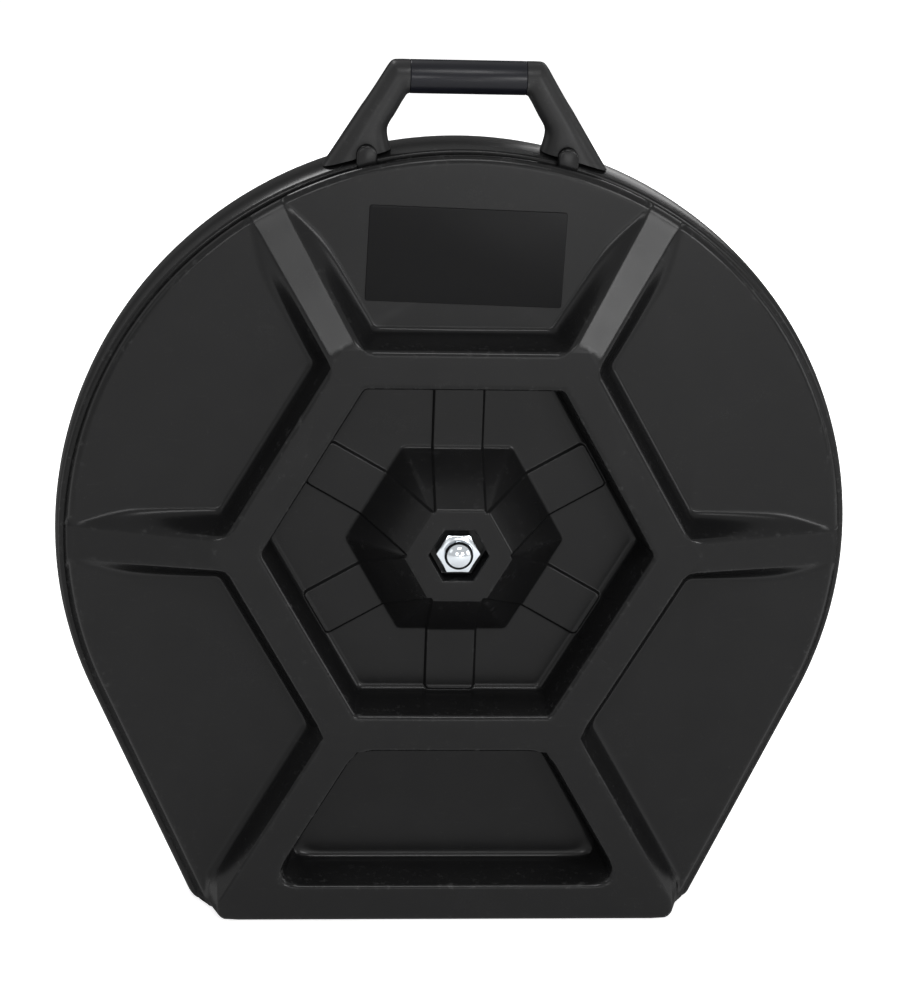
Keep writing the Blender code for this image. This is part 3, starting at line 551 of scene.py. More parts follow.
    def sheet(self):
        """The flat, scored plan of half the case, mirrored and pressed into relief."""
        bm = bmesh.new()
        loops = []
        inset, lift, rise = self.outline
        for step in range(edge_steps + 1):
            back = self.edge * (1 - math.cos(math.pi / 2 * step / edge_steps))
            loops.append(outline_loop(bm, inset + back, lift + back, rise))
        loops.append(outline_loop(bm, inset + self.edge + guard, lift + self.edge + guard, rise))
        for outer, inner in zip(loops, loops[1:]):
            bmesh.ops.bridge_loops(bm, edges=outer + inner)
        bmesh.ops.edgeloop_fill(bm, edges=loops[-1])
        bmesh.ops.bisect_plane(bm, geom=bm.verts[:] + bm.edges[:] + bm.faces[:], dist=score_distance,
                               plane_co=(0, 0, 0), plane_no=(1, 0, 0), clear_inner=True)
        whole = bm.verts[:] + bm.edges[:] + bm.faces[:]
        for direction in (90, 150, 30):
            whole = score(bm, whole, direction, 0)
        half_ring = (ring_inner + ring_outer) / 2
        reach = hole_reach[self.kind]
        for middle in side_directions:
            score(bm, faces_with(bm, lambda x, z: in_wedge(x, z, middle)), middle, half_ring)
            near = faces_with(bm, lambda x, z: in_wedge(x, z, middle) and along(x, z, middle) < half_ring)
            for direction, distance in [(middle, reach)] + self.inner_scores(middle):
                near = score(bm, near, direction, distance)
            away = faces_with(bm, lambda x, z: in_wedge(x, z, middle) and along(x, z, middle) > half_ring)
            for direction, distance in self.outer_scores(middle):
                away = score(bm, away, direction, distance)
        self.score_corners(bm)
        middle_faces = [face for face in bm.faces if opening_reach(face.calc_center_median()) < reach]
        bmesh.ops.delete(bm, geom=middle_faces, context="FACES")
        bmesh.ops.mirror(bm, geom=bm.verts[:] + bm.edges[:] + bm.faces[:], matrix=Matrix.Identity(4),
                         merge_dist=weld_distance, axis="X")
        bmesh.ops.remove_doubles(bm, verts=bm.verts, dist=weld_distance)
        bmesh.ops.triangulate(bm, faces=[face for face in bm.faces if len(face.verts) > 4])
        x = np.array([vert.co.x for vert in bm.verts])
        z = np.array([vert.co.z for vert in bm.verts])
        for vert, drop in zip(bm.verts, self.drop(x, z)):
            vert.co.y = drop
        return bm

    def score_corners(self, bm):
        """Close lines where the walls turn along a wide arc: recess corners and foot ends."""
        geom = faces_with(bm, in_recess_corner)
        for step in range(1, 12):
            geom = score(bm, geom, -150, leg_inner_offset + step * corner_score_gap)
            geom = score(bm, geom, -90, foot_bar_top - step * corner_score_gap)
        geom = faces_with(bm, lambda x, z: z < -foot_zone and x > foot_end - 16 * MM)
        flank = self.flank_stations(foot_end_flank)
        for station in flank + foot_stations(foot_end_flank, self.relief, self.sizes.panel_ease):
            geom = score(bm, geom, 0, foot_end - self.thickness + station)
        for step in range(6):
            geom = score(bm, geom, -90, foot_bottom - step * corner_score_gap)


def in_wedge(x, z, middle):
    """Whether a place is in the sixth of the plan that one side of the ring faces."""
    return abs(along(x, z, middle + 90)) <= along(x, z, middle) * wedge_slope


def in_recess_corner(x, z):
    leg = -leg_inner_offset - along(x, z, 30)
    low = z + foot_bar_top
    return -6 * MM < min(leg, low) and max(leg, low) < 26 * MM


def opening_reach(point):
    """How far a point is from the axis, measured square to the six-sided opening."""
    return hexagon_reach(np.array(abs(point.x)), np.array(point.z), opening_corner_ease)


def faces_with(bm, test):
    """Faces whose middle passes a test on x and z, with their edges and vertices."""
    faces = []
    for face in bm.faces:
        middle = face.calc_center_median()
        if test(middle.x, middle.z):
            faces.append(face)
    edges = dict.fromkeys(edge for face in faces for edge in face.edges)
    verts = dict.fromkeys(vert for face in faces for vert in face.verts)
    return [*verts, *edges, *faces]


def edges_of(verts):
    return list(dict.fromkeys(edge for vert in verts for edge in vert.link_edges))


def score(bm, geom, direction, distance):
    """Cut a line into the plan, square to a direction, and return the scored elements."""
    angle = math.radians(direction)
    out = Vector((math.cos(angle), 0, math.sin(angle)))
    return bmesh.ops.bisect_plane(bm, geom=geom, dist=score_distance, plane_co=out * distance, plane_no=out)["geom"]


def rim_edges(bm, outline):
    """The open edges of a sheet that lie on its outline."""
    edges = [edge for edge in bm.edges if edge.is_boundary]
    x = np.array([edge.verts[0].co.x for edge in edges])
    z = np.array([edge.verts[0].co.z for edge in edges])
    near = np.abs(inside(x, z, *outline)) < 1 * MM
    return [edge for edge, hit in zip(edges, near) if hit]


def only_verts(geom):
    return [item for item in geom if isinstance(item, bmesh.types.BMVert)]


def carry_rim(bm, edges, was, now, depth):
    """Pull the rim on to another outline and depth."""
    grown = bmesh.ops.extrude_edge_only(bm, edges=edges)["geom"]
    for vert in only_verts(grown):
        mark, share = rim_mark(vert.co.x, vert.co.z, *was)
        x, z = rim_point(mark, share, *now)
        vert.co = Vector((math.copysign(x, vert.co.x), depth, z))
    return [edge for edge in grown if isinstance(edge, bmesh.types.BMEdge)]


def merge_into(bm, other):
    """Add another bmesh to this one and return its edges."""
    mesh = bpy.data.meshes.new("part")
    other.to_mesh(mesh)
    other.free()
    before = set(bm.edges)
    bm.from_mesh(mesh)
    bpy.data.meshes.remove(mesh)
    return [edge for edge in bm.edges if edge not in before]


def round_hole(bm, radius, kind):
    """Turn the six-sided openings of both skins into one round hole."""
    reach = hole_reach[kind] + 1 * MM
    open_edges = [edge for edge in bm.edges if edge.is_boundary and opening_reach(edge.verts[0].co) < reach]
    depths = sorted({round(edge.verts[0].co.y, 5) for edge in open_edges})
    circles = []
    for depth in (depths[0], depths[-1]):
        turn = Matrix.Translation((0, depth, 0)) @ Matrix.Rotation(math.pi / 2, 4, "X")
        circle = edges_of(bmesh.ops.create_circle(bm, segments=hole_steps, radius=radius, matrix=turn)["verts"])
        skin = [edge for edge in open_edges if abs(edge.verts[0].co.y - depth) < 0.5 * MM]
        bmesh.ops.bridge_loops(bm, edges=skin + circle)
        circles.append(circle)
    bmesh.ops.bridge_loops(bm, edges=circles[0] + circles[1])


def shell(outer, inner, rim, hole_radius, facing):
    """A moulded half: outer skin, rim, inner skin and the hole in its middle."""
    bm = outer.sheet()
    edges = rim_edges(bm, outer.outline)
    was = outer.outline
    for inset, lift, drop in rim:
        edges = carry_rim(bm, edges, was, (inset, lift, 0), drop)
        was = (inset, lift, 0)
    lining = inner.sheet()
    for edge in rim_edges(lining, inner.outline):
        edge.seam = True
    added = merge_into(bm, lining)
    bmesh.ops.bridge_loops(bm, edges=edges + [edge for edge in added if edge.seam])
    round_hole(bm, hole_radius, outer.kind)
    bmesh.ops.triangulate(bm, faces=[face for face in bm.faces if len(face.verts) > 4])
    bmesh.ops.recalc_face_normals(bm, faces=bm.faces)
    plane = 0 if facing > 0 else case_depth
    for vert in bm.verts:
        vert.co = Vector((vert.co.x, world_y(plane + facing * vert.co.y), axis_height + vert.co.z))
    if facing < 0:
        bmesh.ops.reverse_faces(bm, faces=bm.faces)
    return bm


# Pieces

def object_from(bm, name):
    """Make a bmesh an object of the scene."""
    mesh = bpy.data.meshes.new(name)
    bm.to_mesh(mesh)
    bm.free()
    made = bpy.data.objects.new(name, mesh)
    bpy.context.scene.collection.objects.link(made)
    return made


def finish_piece(name, bm, body, slot, nodes, sharp=38):
    """Make a bmesh a smooth-shaded piece that rides on a body and stands for its nodes."""
    piece = object_from(bm, name)
    mesh = piece.data
    for polygon in mesh.polygons:
        polygon.use_smooth = True
    mesh.set_sharp_from_angle(angle=math.radians(sharp))
    mark_edges(mesh)
    mesh.materials.append(bpy.data.materials.get(slot + "_finish") or finishes[slot]())
    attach(piece, body)
    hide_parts(*nodes)
    return piece


def in_mm(points):
    return [(first * MM, second * MM) for first, second in points]


def facing_at(depth, x=0, z=0):
    """The place of a flat shape that faces forwards, beside the spindle axis."""
    return Matrix.Translation((x, world_y(depth), axis_height + z)) @ Matrix.Rotation(math.pi / 2, 4, "X")


def turned(bm, profile, start, steps=64):
    """Spin a profile of (radius, depth) about the spindle axis."""
    made = [bm.verts.new((radius, world_y(start + depth), axis_height)) for radius, depth in profile]
    edges = [bm.edges.new(pair) for pair in zip(made, made[1:])]
    bmesh.ops.spin(bm, geom=made + edges, cent=(0, 0, axis_height), axis=(0, 1, 0),
                   angle=2 * math.pi, steps=steps, use_merge=True, use_duplicate=False)
    bmesh.ops.remove_doubles(bm, verts=bm.verts, dist=weld_distance)
    bmesh.ops.recalc_face_normals(bm, faces=bm.faces)


def add_lid():
    edge = bpy.context.scene.cymbal_case_sizes.lid_edge
    outer = Skin(lid_relief, lid_floor, lid_panel_inset, 0, lid_panel_rise, edge, 0, "lid")
    inner_inset = tongue_inset + tongue_wall
    inner = Skin(lid_relief, lid_floor, lid_panel_inset + wall, inner_inset, lid_panel_rise, edge, wall, "lid")
    # The rim as (inset, lift at the foot, depth), back to the end of the tongue
    rim = [(7 * MM, 0, 42 * MM), (7 * MM, 0, 42.6 * MM), (7.4 * MM, 0.4 * MM, 43 * MM),
           (tongue_inset, tongue_inset, lid_edge_depth),
           (tongue_inset, tongue_inset, tongue_end_depth - tongue_chamfer),
           (tongue_inset + tongue_chamfer, tongue_inset + tongue_chamfer, tongue_end_depth),
           (inner_inset, inner_inset, tongue_end_depth)]
    bm = shell(outer, inner, rim, journal_radius, 1)
    for side in (-1, 1):
        tab(bm, side)
    finish_piece("lid_moulding", bm, "lid", "case_plastic", ["front_shell"])


tab_middle = 75.3 * MM
tab_half_width = 7.75 * MM
tab_top = 306.5 * MM
tab_root = 286 * MM
tab_front_depth = 38.5 * MM
tab_thickness = 7.2 * MM
tab_rounding = 1.6 * MM


def tab(bm, side):
    """A round-topped tab in front of a handle foot."""
    centre = tab_top - tab_half_width
    made = bmesh.ops.create_circle(bm, cap_ends=True, segments=40, radius=tab_half_width,
                                   matrix=facing_at(tab_front_depth, side * tab_middle, centre))["verts"]
    low = [vert for vert in made if vert.co.z < axis_height + centre - tab_half_width / 8]
    bmesh.ops.translate(bm, verts=low, vec=(0, 0, tab_root - centre + tab_half_width))
    face = made[0].link_faces[0]
    back = only_verts(bmesh.ops.extrude_face_region(bm, geom=[face], use_keep_orig=True)["geom"])
    bmesh.ops.translate(bm, verts=back, vec=(0, tab_thickness, 0))
    island = dict.fromkeys(link for vert in back + made for link in vert.link_faces)
    bmesh.ops.recalc_face_normals(bm, faces=list(island))
    bmesh.ops.bevel(bm, geom=face.edges[:], offset=tab_rounding, affect="EDGES", segments=4, profile=0.5,
                    material=-1)


def add_body():
    edge = bpy.context.scene.cymbal_case_sizes.body_edge
    outer = Skin(body_relief, body_relief, body_panel_inset, 0, 0, edge, 0, "body")
    inner_inset = body_front_inset + wall
    inner = Skin(body_relief, body_relief, body_panel_inset + wall, inner_inset, 0, body_inner_edge, wall, "body")
    rim = []
    for depth in (118, 112, 106, 98, 90, 82, 75, 68, 62, 56, 51):
        front = depth * MM < body_bulge_depth
        reach = body_bulge_depth - body_front_depth if front else body_taper_run
        most = body_front_inset if front else body_panel_inset
        rim.append((most * ((depth * MM - body_bulge_depth) / reach) ** 2, 0, case_depth - depth * MM))
    rim += [(2.6 * MM, 0, case_depth - 48.4 * MM), (3 * MM, 0.2 * MM, case_depth - 47.1 * MM),
            (3.8 * MM, 0.8 * MM, case_depth - 46.3 * MM), (5 * MM, 1.8 * MM, case_depth - 46 * MM),
            (inner_inset, inner_inset, case_depth - body_front_depth),
            (inner_inset, inner_inset, case_depth - 56 * MM)]
    bm = shell(outer, inner, rim, spindle_hole_radius, -1)
    finish_piece("body_moulding", bm, "body", "case_plastic", ["rear_shell"])


def outline_face(bm, corners, y):
    """One face from a few (x, z) corners about the spindle axis."""
    made = [bm.verts.new((x * MM, y, axis_height + z * MM)) for x, z in corners]
    return bm.faces.new(made)


def thicken(bm, move):
    """Extrude a flat outline by a move into a closed shape."""
    grown = bmesh.ops.extrude_face_region(bm, geom=bm.faces[:], use_keep_orig=True)["geom"]
    bmesh.ops.translate(bm, verts=only_verts(grown), vec=move)
    bmesh.ops.recalc_face_normals(bm, faces=bm.faces)


def round_edges(bm, test, offset, steps=5):
    edges = [edge for edge in bm.edges if test(edge)]
    bmesh.ops.bevel(bm, geom=edges, offset=offset, affect="EDGES", segments=steps, profile=0.5, material=-1,
                    clamp_overlap=True)


def round_corners(bm, verts, offset):
    bmesh.ops.bevel(bm, geom=verts, offset=offset, affect="VERTICES", segments=5, profile=0.5, material=-1)


def carve(bm, tools):
    """Take closed tool shapes away from a closed shape."""
    things = [object_from(shape, "carving") for shape in [bm] + tools]
    for tool in things[1:]:
        modifier = things[0].modifiers.new("Carve", "BOOLEAN")
        modifier.operation = "DIFFERENCE"
        modifier.solver = "EXACT"
        modifier.object = tool
    graph = bpy.context.evaluated_depsgraph_get()
    carved = bmesh.new()
    carved.from_mesh(things[0].evaluated_get(graph).to_mesh())
    things[0].evaluated_get(graph).to_mesh_clear()
    for thing in things:
        mesh = thing.data
        bpy.data.objects.remove(thing, do_unlink=True)
        bpy.data.meshes.remove(mesh)
    bmesh.ops.remove_doubles(carved, verts=carved.verts, dist=weld_distance)
    return carved


def rod(radius, start, end, steps=64):
    """A round rod along the spindle axis, to carve a hole or a seat with."""
    bm = bmesh.new()
    turned(bm, [(0, start), (radius, start), (radius, end), (0, end)], 0, steps)
    return bm


def on_plane(edge, y):
    return all(abs(vert.co.y - y) < score_distance for vert in edge.verts)


def turn_about(bm, centre, angle, axis, verts=None):
    bmesh.ops.rotate(bm, verts=verts or bm.verts, cent=centre, matrix=Matrix.Rotation(angle, 3, axis))


def ring_profile(outer, inner, thickness, ease, steps=3):
    """A ring's section with rounded edges, as a closed row of (radius, depth)."""
    corners = [(outer - ease, ease, 0), (outer - ease, thickness - ease, 1),
               (inner + ease, thickness - ease, 2), (inner + ease, ease, 3)]
    points = []
    for x, z, quarter in corners:
        for step in range(steps + 1):
            angle = math.pi / 2 * (quarter - 1 + step / steps)
            points.append((x + ease * math.cos(angle), z + ease * math.sin(angle)))
    return points + points[:1]


def ring_piece(name, outer, inner, depth, thickness, ease, body, slot, node, steps=96):
    bm = bmesh.new()
    turned(bm, ring_profile(outer * MM, inner * MM, thickness * MM, ease * MM), depth * MM, steps)
    return finish_piece(name, bm, body, slot, [node])


handle_top = 367.5 * MM
handle_seat = 306.3 * MM
handle_middle_y = world_y(63 * MM)
handle_core_radius = 7.5 * MM
handle_core_half_length = 51 * MM
grip_half_length = 43.7 * MM
grip_end_rounding = 0.9 * MM
# Sections of a leg: inner x and z, outer x and z, half depth (mm) and how square the section is
leg_rows = [(43.8, 342.05, 43.8, 367.5, 12.72, 2.0), (44.5, 341.9, 51, 367.5, 12.8, 2.05),
            (45.2, 341.5, 56.2, 366.9, 12.9, 2.1), (45.9, 340.7, 59.4, 363.7, 13.1, 2.1),
            (46.8, 339.2, 63.5, 357, 13.4, 2.15), (48.8, 336, 69.3, 347.3, 13.8, 2.2),
            (53.8, 326.9, 75.2, 337.8, 14.6, 2.3), (57.3, 321.2, 79.6, 331.2, 15.2, 2.3),
            (59, 317.2, 83.5, 324.9, 15.6, 2.4), (59.3, 313, 88, 317.6, 16, 2.5),
            (58.2, 307, 93.5, 308.8, 16.5, 2.6), (56.4, 301, 99.5, 299.1, 16.8, 2.8),
            (54.8, 296, 105, 290.3, 17, 3), (53.3, 289, 110.5, 281.4, 17, 3), (52, 282, 116, 272.6, 17, 3)]


def eased_rows(rows, steps):
    """More rows along a smooth curve through the given ones."""
    table = np.array(rows, dtype=float)
    padded = np.vstack([2 * table[0] - table[1], table, 2 * table[-1] - table[-2]])
    for k in range(len(table) - 1):
        a, b, c, d = padded[k:k + 4]
        for step in range(steps):
            t = step / steps
            yield (2 * b + (c - a) * t + (2 * a - 5 * b + 4 * c - d) * t ** 2 + (3 * b - a - 3 * c + d) * t ** 3) / 2
    yield table[-1]


def handle_leg(side):
    """A flared leg: oval sections bridged from the sleeve round the bend and the knee to the foot."""
    bm = bmesh.new()
    loops = []
    for inner_x, inner_z, outer_x, outer_z, depth, square in eased_rows(leg_rows, 3):
        inner = Vector((inner_x, 0, inner_z))
        across = (Vector((outer_x, 0, outer_z)) - inner) / 2
        ring = bmesh.ops.create_circle(bm, segments=48, radius=1)["verts"]
        for vert in ring:
            reach, rise = (math.copysign(abs(value) ** (2 / square), value) for value in vert.co.xy)
            place = inner + across * (1 + reach)
            vert.co = Vector((side * place.x * MM, handle_middle_y + rise * depth * MM, axis_height + place.z * MM))
        loops.append(edges_of(ring))
    for near, distant in zip(loops, loops[1:]):
        bmesh.ops.bridge_loops(bm, edges=near + distant)
    for loop in (loops[0], loops[-1]):
        bmesh.ops.edgeloop_fill(bm, edges=loop)
    bmesh.ops.recalc_face_normals(bm, faces=bm.faces)
    return bm


def bar(radius, half_length, segments):
    """A round bar across the handle's top."""
    bm = bmesh.new()
    bmesh.ops.create_cone(bm, cap_ends=True, segments=segments, radius1=radius, radius2=radius,
                          depth=2 * half_length)
    return bm


def lay_across(bm):
    """Put an upright bar in its place between the handle's legs."""
    turn_about(bm, (0, 0, 0), math.pi / 2, "Y")
    grip = bpy.context.scene.cymbal_case_sizes.grip_radius
    bmesh.ops.translate(bm, verts=bm.verts, vec=(0, handle_middle_y, axis_height + handle_top - grip))


def add_handle():
    bm = handle_leg(1)
    merge_into(bm, handle_leg(-1))
    bm = carve(bm, [rod(handle_seat, 30 * MM, 96 * MM, 256)])
    core = bar(handle_core_radius, handle_core_half_length, 48)
    lay_across(core)
    merge_into(bm, core)
    finish_piece("handle_legs", bm, "body", "handle_plastic", ["handle_frame"])
    bm = bar(bpy.context.scene.cymbal_case_sizes.grip_radius, grip_half_length, 96)
    round_edges(bm, lambda edge: len(edge.link_faces[0].verts) != len(edge.link_faces[1].verts),
                grip_end_rounding, 3)
    lay_across(bm)
    finish_piece("grip_sleeve", bm, "body", "grip_rubber", ["handle_grip"])


fixing_angle = math.radians(15)
washer_height = 296.56 * MM
bolt_height = 296.26 * MM


def add_handle_fixings():
    """Bolts and washers that hold the handle from inside the body."""
    for side, word in ((-1, "left"), (1, "right")):
        angle = side * fixing_angle
        bm = bmesh.new()
        turned(bm, ring_profile(9 * MM, 3.3 * MM, 1.5 * MM, 0.3 * MM), 0, 48)
        place_radially(bm, angle, washer_height)
        finish_piece("washer_" + word, bm, "body", "zinc_steel", ["handle_washer_" + word])
        bm = bmesh.new()
        profile = [(0, -1.6), (2.4, -1.6), (2.6, -3.8), (4.2, -4), (5.4, -3.3), (6, -2), (6, -0.3), (5.7, 0),
                   (3, 0), (3, 3)] + threaded(3, 3, 21, 1, 0.3) + [(2.4, 22), (0, 22)]
        turned(bm, in_mm(profile), 0, 32)
        place_radially(bm, angle, bolt_height)
        finish_piece("bolt_" + word, bm, "body", "zinc_steel", ["handle_bolt_" + word], 30)


def place_radially(bm, angle, radius):
    """Stand a shape that was turned along Y on a line out from the axis, in the handle's middle."""
    bmesh.ops.translate(bm, verts=bm.verts, vec=(0, -world_y(0), -axis_height))
    turn_about(bm, (0, 0, 0), math.pi / 2, "X")
    bmesh.ops.translate(bm, verts=bm.verts, vec=(0, 0, radius))
    turn_about(bm, (0, 0, 0), angle, "Y")
    bmesh.ops.translate(bm, verts=bm.verts, vec=(0, handle_middle_y, axis_height))


label_depth = 26.9 * MM
label_thickness = 0.8 * MM
label_turn = math.radians(1.6)


def add_label():
    bm = bmesh.new()
    front = world_y(label_depth)
    outline_face(bm, [(-74, -36.5), (74, -36.5), (74, 36.5), (-74, 36.5)], front)
    round_corners(bm, bm.verts[:], 2 * MM)
    thicken(bm, (0, label_thickness, 0))
    round_edges(bm, lambda edge: on_plane(edge, front), 0.3 * MM, 3)
    turn_about(bm, (0, 0, axis_height), label_turn, "Y")
    low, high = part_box("label_plate")
    bmesh.ops.translate(bm, verts=bm.verts, vec=(0, 0, (low.z + high.z) / 2 - axis_height))
    finish_piece("label_film", bm, "lid", "label_film", ["label_plate"])


nut_inner = 14.4 * MM
nut_chamfer_radius = 14 * MM


def add_cap_nut():
    """Chromed six-sided nut with a dome, hulled from its chamfer circle and its corners."""
    bm = bmesh.new()
    for depth in (4, 16.2):
        bmesh.ops.create_circle(bm, segments=48, radius=nut_chamfer_radius, matrix=facing_at(depth * MM))
    corner = nut_inner / math.cos(math.pi / 6)
    for depth in (4.7, 15.5):
        made = bmesh.ops.create_circle(bm, segments=6, radius=corner, matrix=facing_at(depth * MM))["verts"]
        turned_by = math.atan2(made[0].co.z - axis_height, made[0].co.x)
        turn_about(bm, (0, 0, axis_height), turned_by, "Y", made)
    bmesh.ops.convex_hull(bm, input=bm.verts[:], use_existing_faces=False)
    loose = [vert for vert in bm.verts if not vert.link_faces]
    bmesh.ops.delete(bm, geom=loose, context="VERTS")
    bmesh.ops.dissolve_limit(bm, angle_limit=0.01, verts=bm.verts, edges=bm.edges)
    bmesh.ops.recalc_face_normals(bm, faces=bm.faces)
    dome = bmesh.new()
    round_part = bpy.context.scene.cymbal_case_sizes.dome_radius / MM
    profile = [(0, 6), (round_part + 0.6, 6), (round_part + 0.6, 3.6), (round_part, 3.3), (round_part, 2.2)]
    profile += [(round_part * math.cos(math.pi / 36 * k), 1.6 - 8.6 * math.sin(math.pi / 36 * k)) for k in range(18)]
    profile += [(0, -7)]
    turned(dome, in_mm(profile), 0)
    merge_into(bm, dome)
    finish_piece("dome_nut", bm, "lid", "nut_chrome", ["cap_nut"], 25)


def threaded(radius, start, end, pitch=1.5, height=0.45):
    """A row of (radius, depth) that rises and falls like a thread."""
    points = []
    depth = start
    while depth + pitch <= end:
        points += [(radius - height, depth), (radius, depth + pitch * 0.45), (radius, depth + pitch * 0.55)]
        depth += pitch
    return points


def add_spindle():
    bm = bmesh.new()
    profile = [(0, 8.5), (8, 8.5), (9, 9.5), (9, 26.1), (14.6, 26.1), (15, 26.5), (15, 30.7), (14.6, 31.1),
               (9, 31.1), (9, 57.4), (8.4, 58), (5, 58), (5, 62)]
    profile += threaded(5, 62, 128) + [(4.5, 128.6), (3.8, 130), (0, 130)]
    turned(bm, in_mm(profile), 0, 48)
    finish_piece("spindle_rod", bm, "lid", "zinc_steel", ["spindle"], 30)


def add_hub():
    bm = bmesh.new()
    profile = [(9.3, 58), (18.8, 58), (19.7, 57.6), (20, 56.7), (20, 53.5), (34.4, 31), (35, 29.6), (35, 26.8),
               (34.3, 26.1), (15.3, 26.1), (15.3, 31.4), (9.3, 31.4), (9.3, 58)]
    turned(bm, in_mm(profile), 0, 96)
    finish_piece("hub_spool", bm, "lid", "hub_plastic", ["hub"], 30)


wing_thickness = 3.2 * MM


def add_wing_nut():
    bm = bmesh.new()
    profile = [(5.3, 0), (8.6, 0), (9, 0.4), (7.4, 10.2), (6.6, 11), (5.3, 11), (5.3, 0)]
    turned(bm, in_mm(profile), 73.2 * MM)
    outline = [(6, 74.6), (15, 74.2), (22, 88), (22.4, 94), (17, 94.2), (14.5, 90), (6, 83)]
    for side in (-1, 1):
        wing = bmesh.new()
        made = [wing.verts.new((side * x, world_y(depth), axis_height - wing_thickness / 2))
                for x, depth in in_mm(outline)]
        wing.faces.new(made)
        round_corners(wing, made[1:6], 2 * MM)
        thicken(wing, (0, 0, wing_thickness))
        round_edges(wing, lambda edge: abs(edge.verts[0].co.z - edge.verts[1].co.z) < 0.1 * MM, 1 * MM, 3)
        merge_into(bm, wing)
    finish_piece("wing_nut_body", bm, "wing", "zinc_steel", ["wing_nut"], 30)


def six_sided(half_width, front, depth):
    """A six-sided block about the spindle axis, with its sizes in mm."""
    bm = bmesh.new()
    radius = half_width / math.cos(math.pi / 6)
    corners = [(radius * math.cos(math.pi / 3 * k), radius * math.sin(math.pi / 3 * k)) for k in range(6)]
    outline_face(bm, corners, world_y(front * MM))
    thicken(bm, (0, depth * MM, 0))
    return bm


knob_front_depth = 112.6 * MM
knob_back_depth = 136.6 * MM
knob_lobes = 7
knob_crown_radius = 28.5 * MM


def add_knob():
    """The lobed knob, carved for its threaded insert, and the insert."""
    sizes = bpy.context.scene.cymbal_case_sizes
    front, back = world_y(knob_front_depth), world_y(knob_back_depth)
    bm = bmesh.new()
    made = bmesh.ops.create_circle(bm, cap_ends=True, segments=168, radius=sizes.knob_radius,
                                   matrix=facing_at(knob_front_depth))["verts"]
    for vert in made:
        angle = math.atan2(vert.co.z - axis_height, vert.co.x)
        reach = sizes.knob_radius - sizes.lobe_depth * (1 - math.cos(knob_lobes * angle)) / 2
        vert.co.x = reach * math.cos(angle)
        vert.co.z = axis_height + reach * math.sin(angle)
    thicken(bm, (0, back - front, 0))
    crown = max(bm.faces, key=lambda face: face.calc_center_median().y)
    bmesh.ops.inset_region(bm, faces=[crown], thickness=9 * MM, depth=0)
    bmesh.ops.inset_region(bm, faces=[crown], thickness=3 * MM, depth=-1.6 * MM)

    def on_lobes(edge):
        place = edge.verts[0].co
        return on_plane(edge, back) and math.hypot(place.x, place.z - axis_height) > knob_crown_radius

    round_edges(bm, on_lobes, 4 * MM, 6)
    round_edges(bm, lambda edge: on_plane(edge, front), 1.5 * MM, 3)
    bm = carve(bm, [six_sided(8.8, 108, 17.2), rod(spindle_hole_radius, 108 * MM, 130.6 * MM)])
    finish_piece("hand_knob", bm, "knob", "knob_plastic", ["rear_knob"], 30)
    insert = six_sided(8.5, 112.9, 12)
    round_edges(insert, lambda edge: True, 0.3 * MM, 2)
    insert = carve(insert, [rod(spindle_hole_radius, 108 * MM, 130 * MM)])
    finish_piece("threaded_insert", insert, "knob", "insert_brass", ["knob_insert"], 30)


def add_steel_rings():
    ring_piece("plate_behind_boss", 43, 9.3, 22.8, 3, 0.6, "lid", "zinc_steel", "backing_plate")
    ring_piece("clamp_ring", 16, 5.3, 70.9, 2, 0.4, "clamp", "zinc_steel", "clamp_washer")
    ring_piece("knob_ring", 14, 5.3, 110.3, 2, 0.4, "knob_seat", "zinc_steel", "knob_washer")


def add_pads():
    for name, depth, body, node in (("felt_near", 58.3, "lid", "front_felt"), ("felt_far", 64.6, "clamp", "rear_felt")):
        ring_piece(name, 20, 5.3, depth, 6, 1.4, body, "felt", node)
    for name, outer, inner, depth, body, node in (("foam_near", 120, 84.3, 49.3, "lid", "front_pad"),
                                                  ("foam_far", 115, 72.9, 111.2, "body", "rear_pad")):
        ring_piece(name, outer, inner, depth, 10, 2.4, body, "foam", node, 160)


# Materials

class Reading:
    """A number read from a material's nodes. An expression on it adds Math nodes."""

    def __init__(self, finish, socket):
        self.finish = finish
        self.socket = socket

    def work(self, operation, first, second):
        made = self.finish.node("ShaderNodeMath", {"operation": operation}, {0: first, 1: second})
        return made["Value"]

    def __add__(self, other):
        return self.work("ADD", self, other)

    def __sub__(self, other):
        return self.work("SUBTRACT", self, other)

    def __rsub__(self, other):
        return self.work("SUBTRACT", other, self)

    def __mul__(self, other):
        return self.work("MULTIPLY", self, other)

    def at_least(self, other):
        return self.work("MAXIMUM", self, other)

    __radd__ = __add__
    __rmul__ = __mul__


class NodeWork:
    """A node tree, with the one method that adds nodes to it."""

    def __init__(self, tree):
        self.tree = tree

    def fill(self, node, key, value):
        named = [socket for socket in node.inputs if socket.name == key and socket.enabled]
        socket = node.inputs[key] if isinstance(key, int) else named[0]
        if isinstance(value, Reading):
            self.tree.links.new(value.socket, socket)
        else:
            socket.default_value = value

    def node(self, kind, settings, sockets):
        """Add a node: its settings first, then values or links for its sockets."""
        made = self.tree.nodes.new(kind)
        for key, value in settings.items():
            setattr(made, key, value)
        for key, value in sockets.items():
            self.fill(made, key, value)
        return {socket.name: Reading(self, socket) for socket in made.outputs if socket.enabled}

    def seen_white(self):
        """One for rays that come straight from the camera or by way of gloss or glass."""
        ray = self.node("ShaderNodeLightPath", {}, {})
        return ray["Is Camera Ray"].at_least(ray["Is Glossy Ray"]).at_least(ray["Is Transmission Ray"])


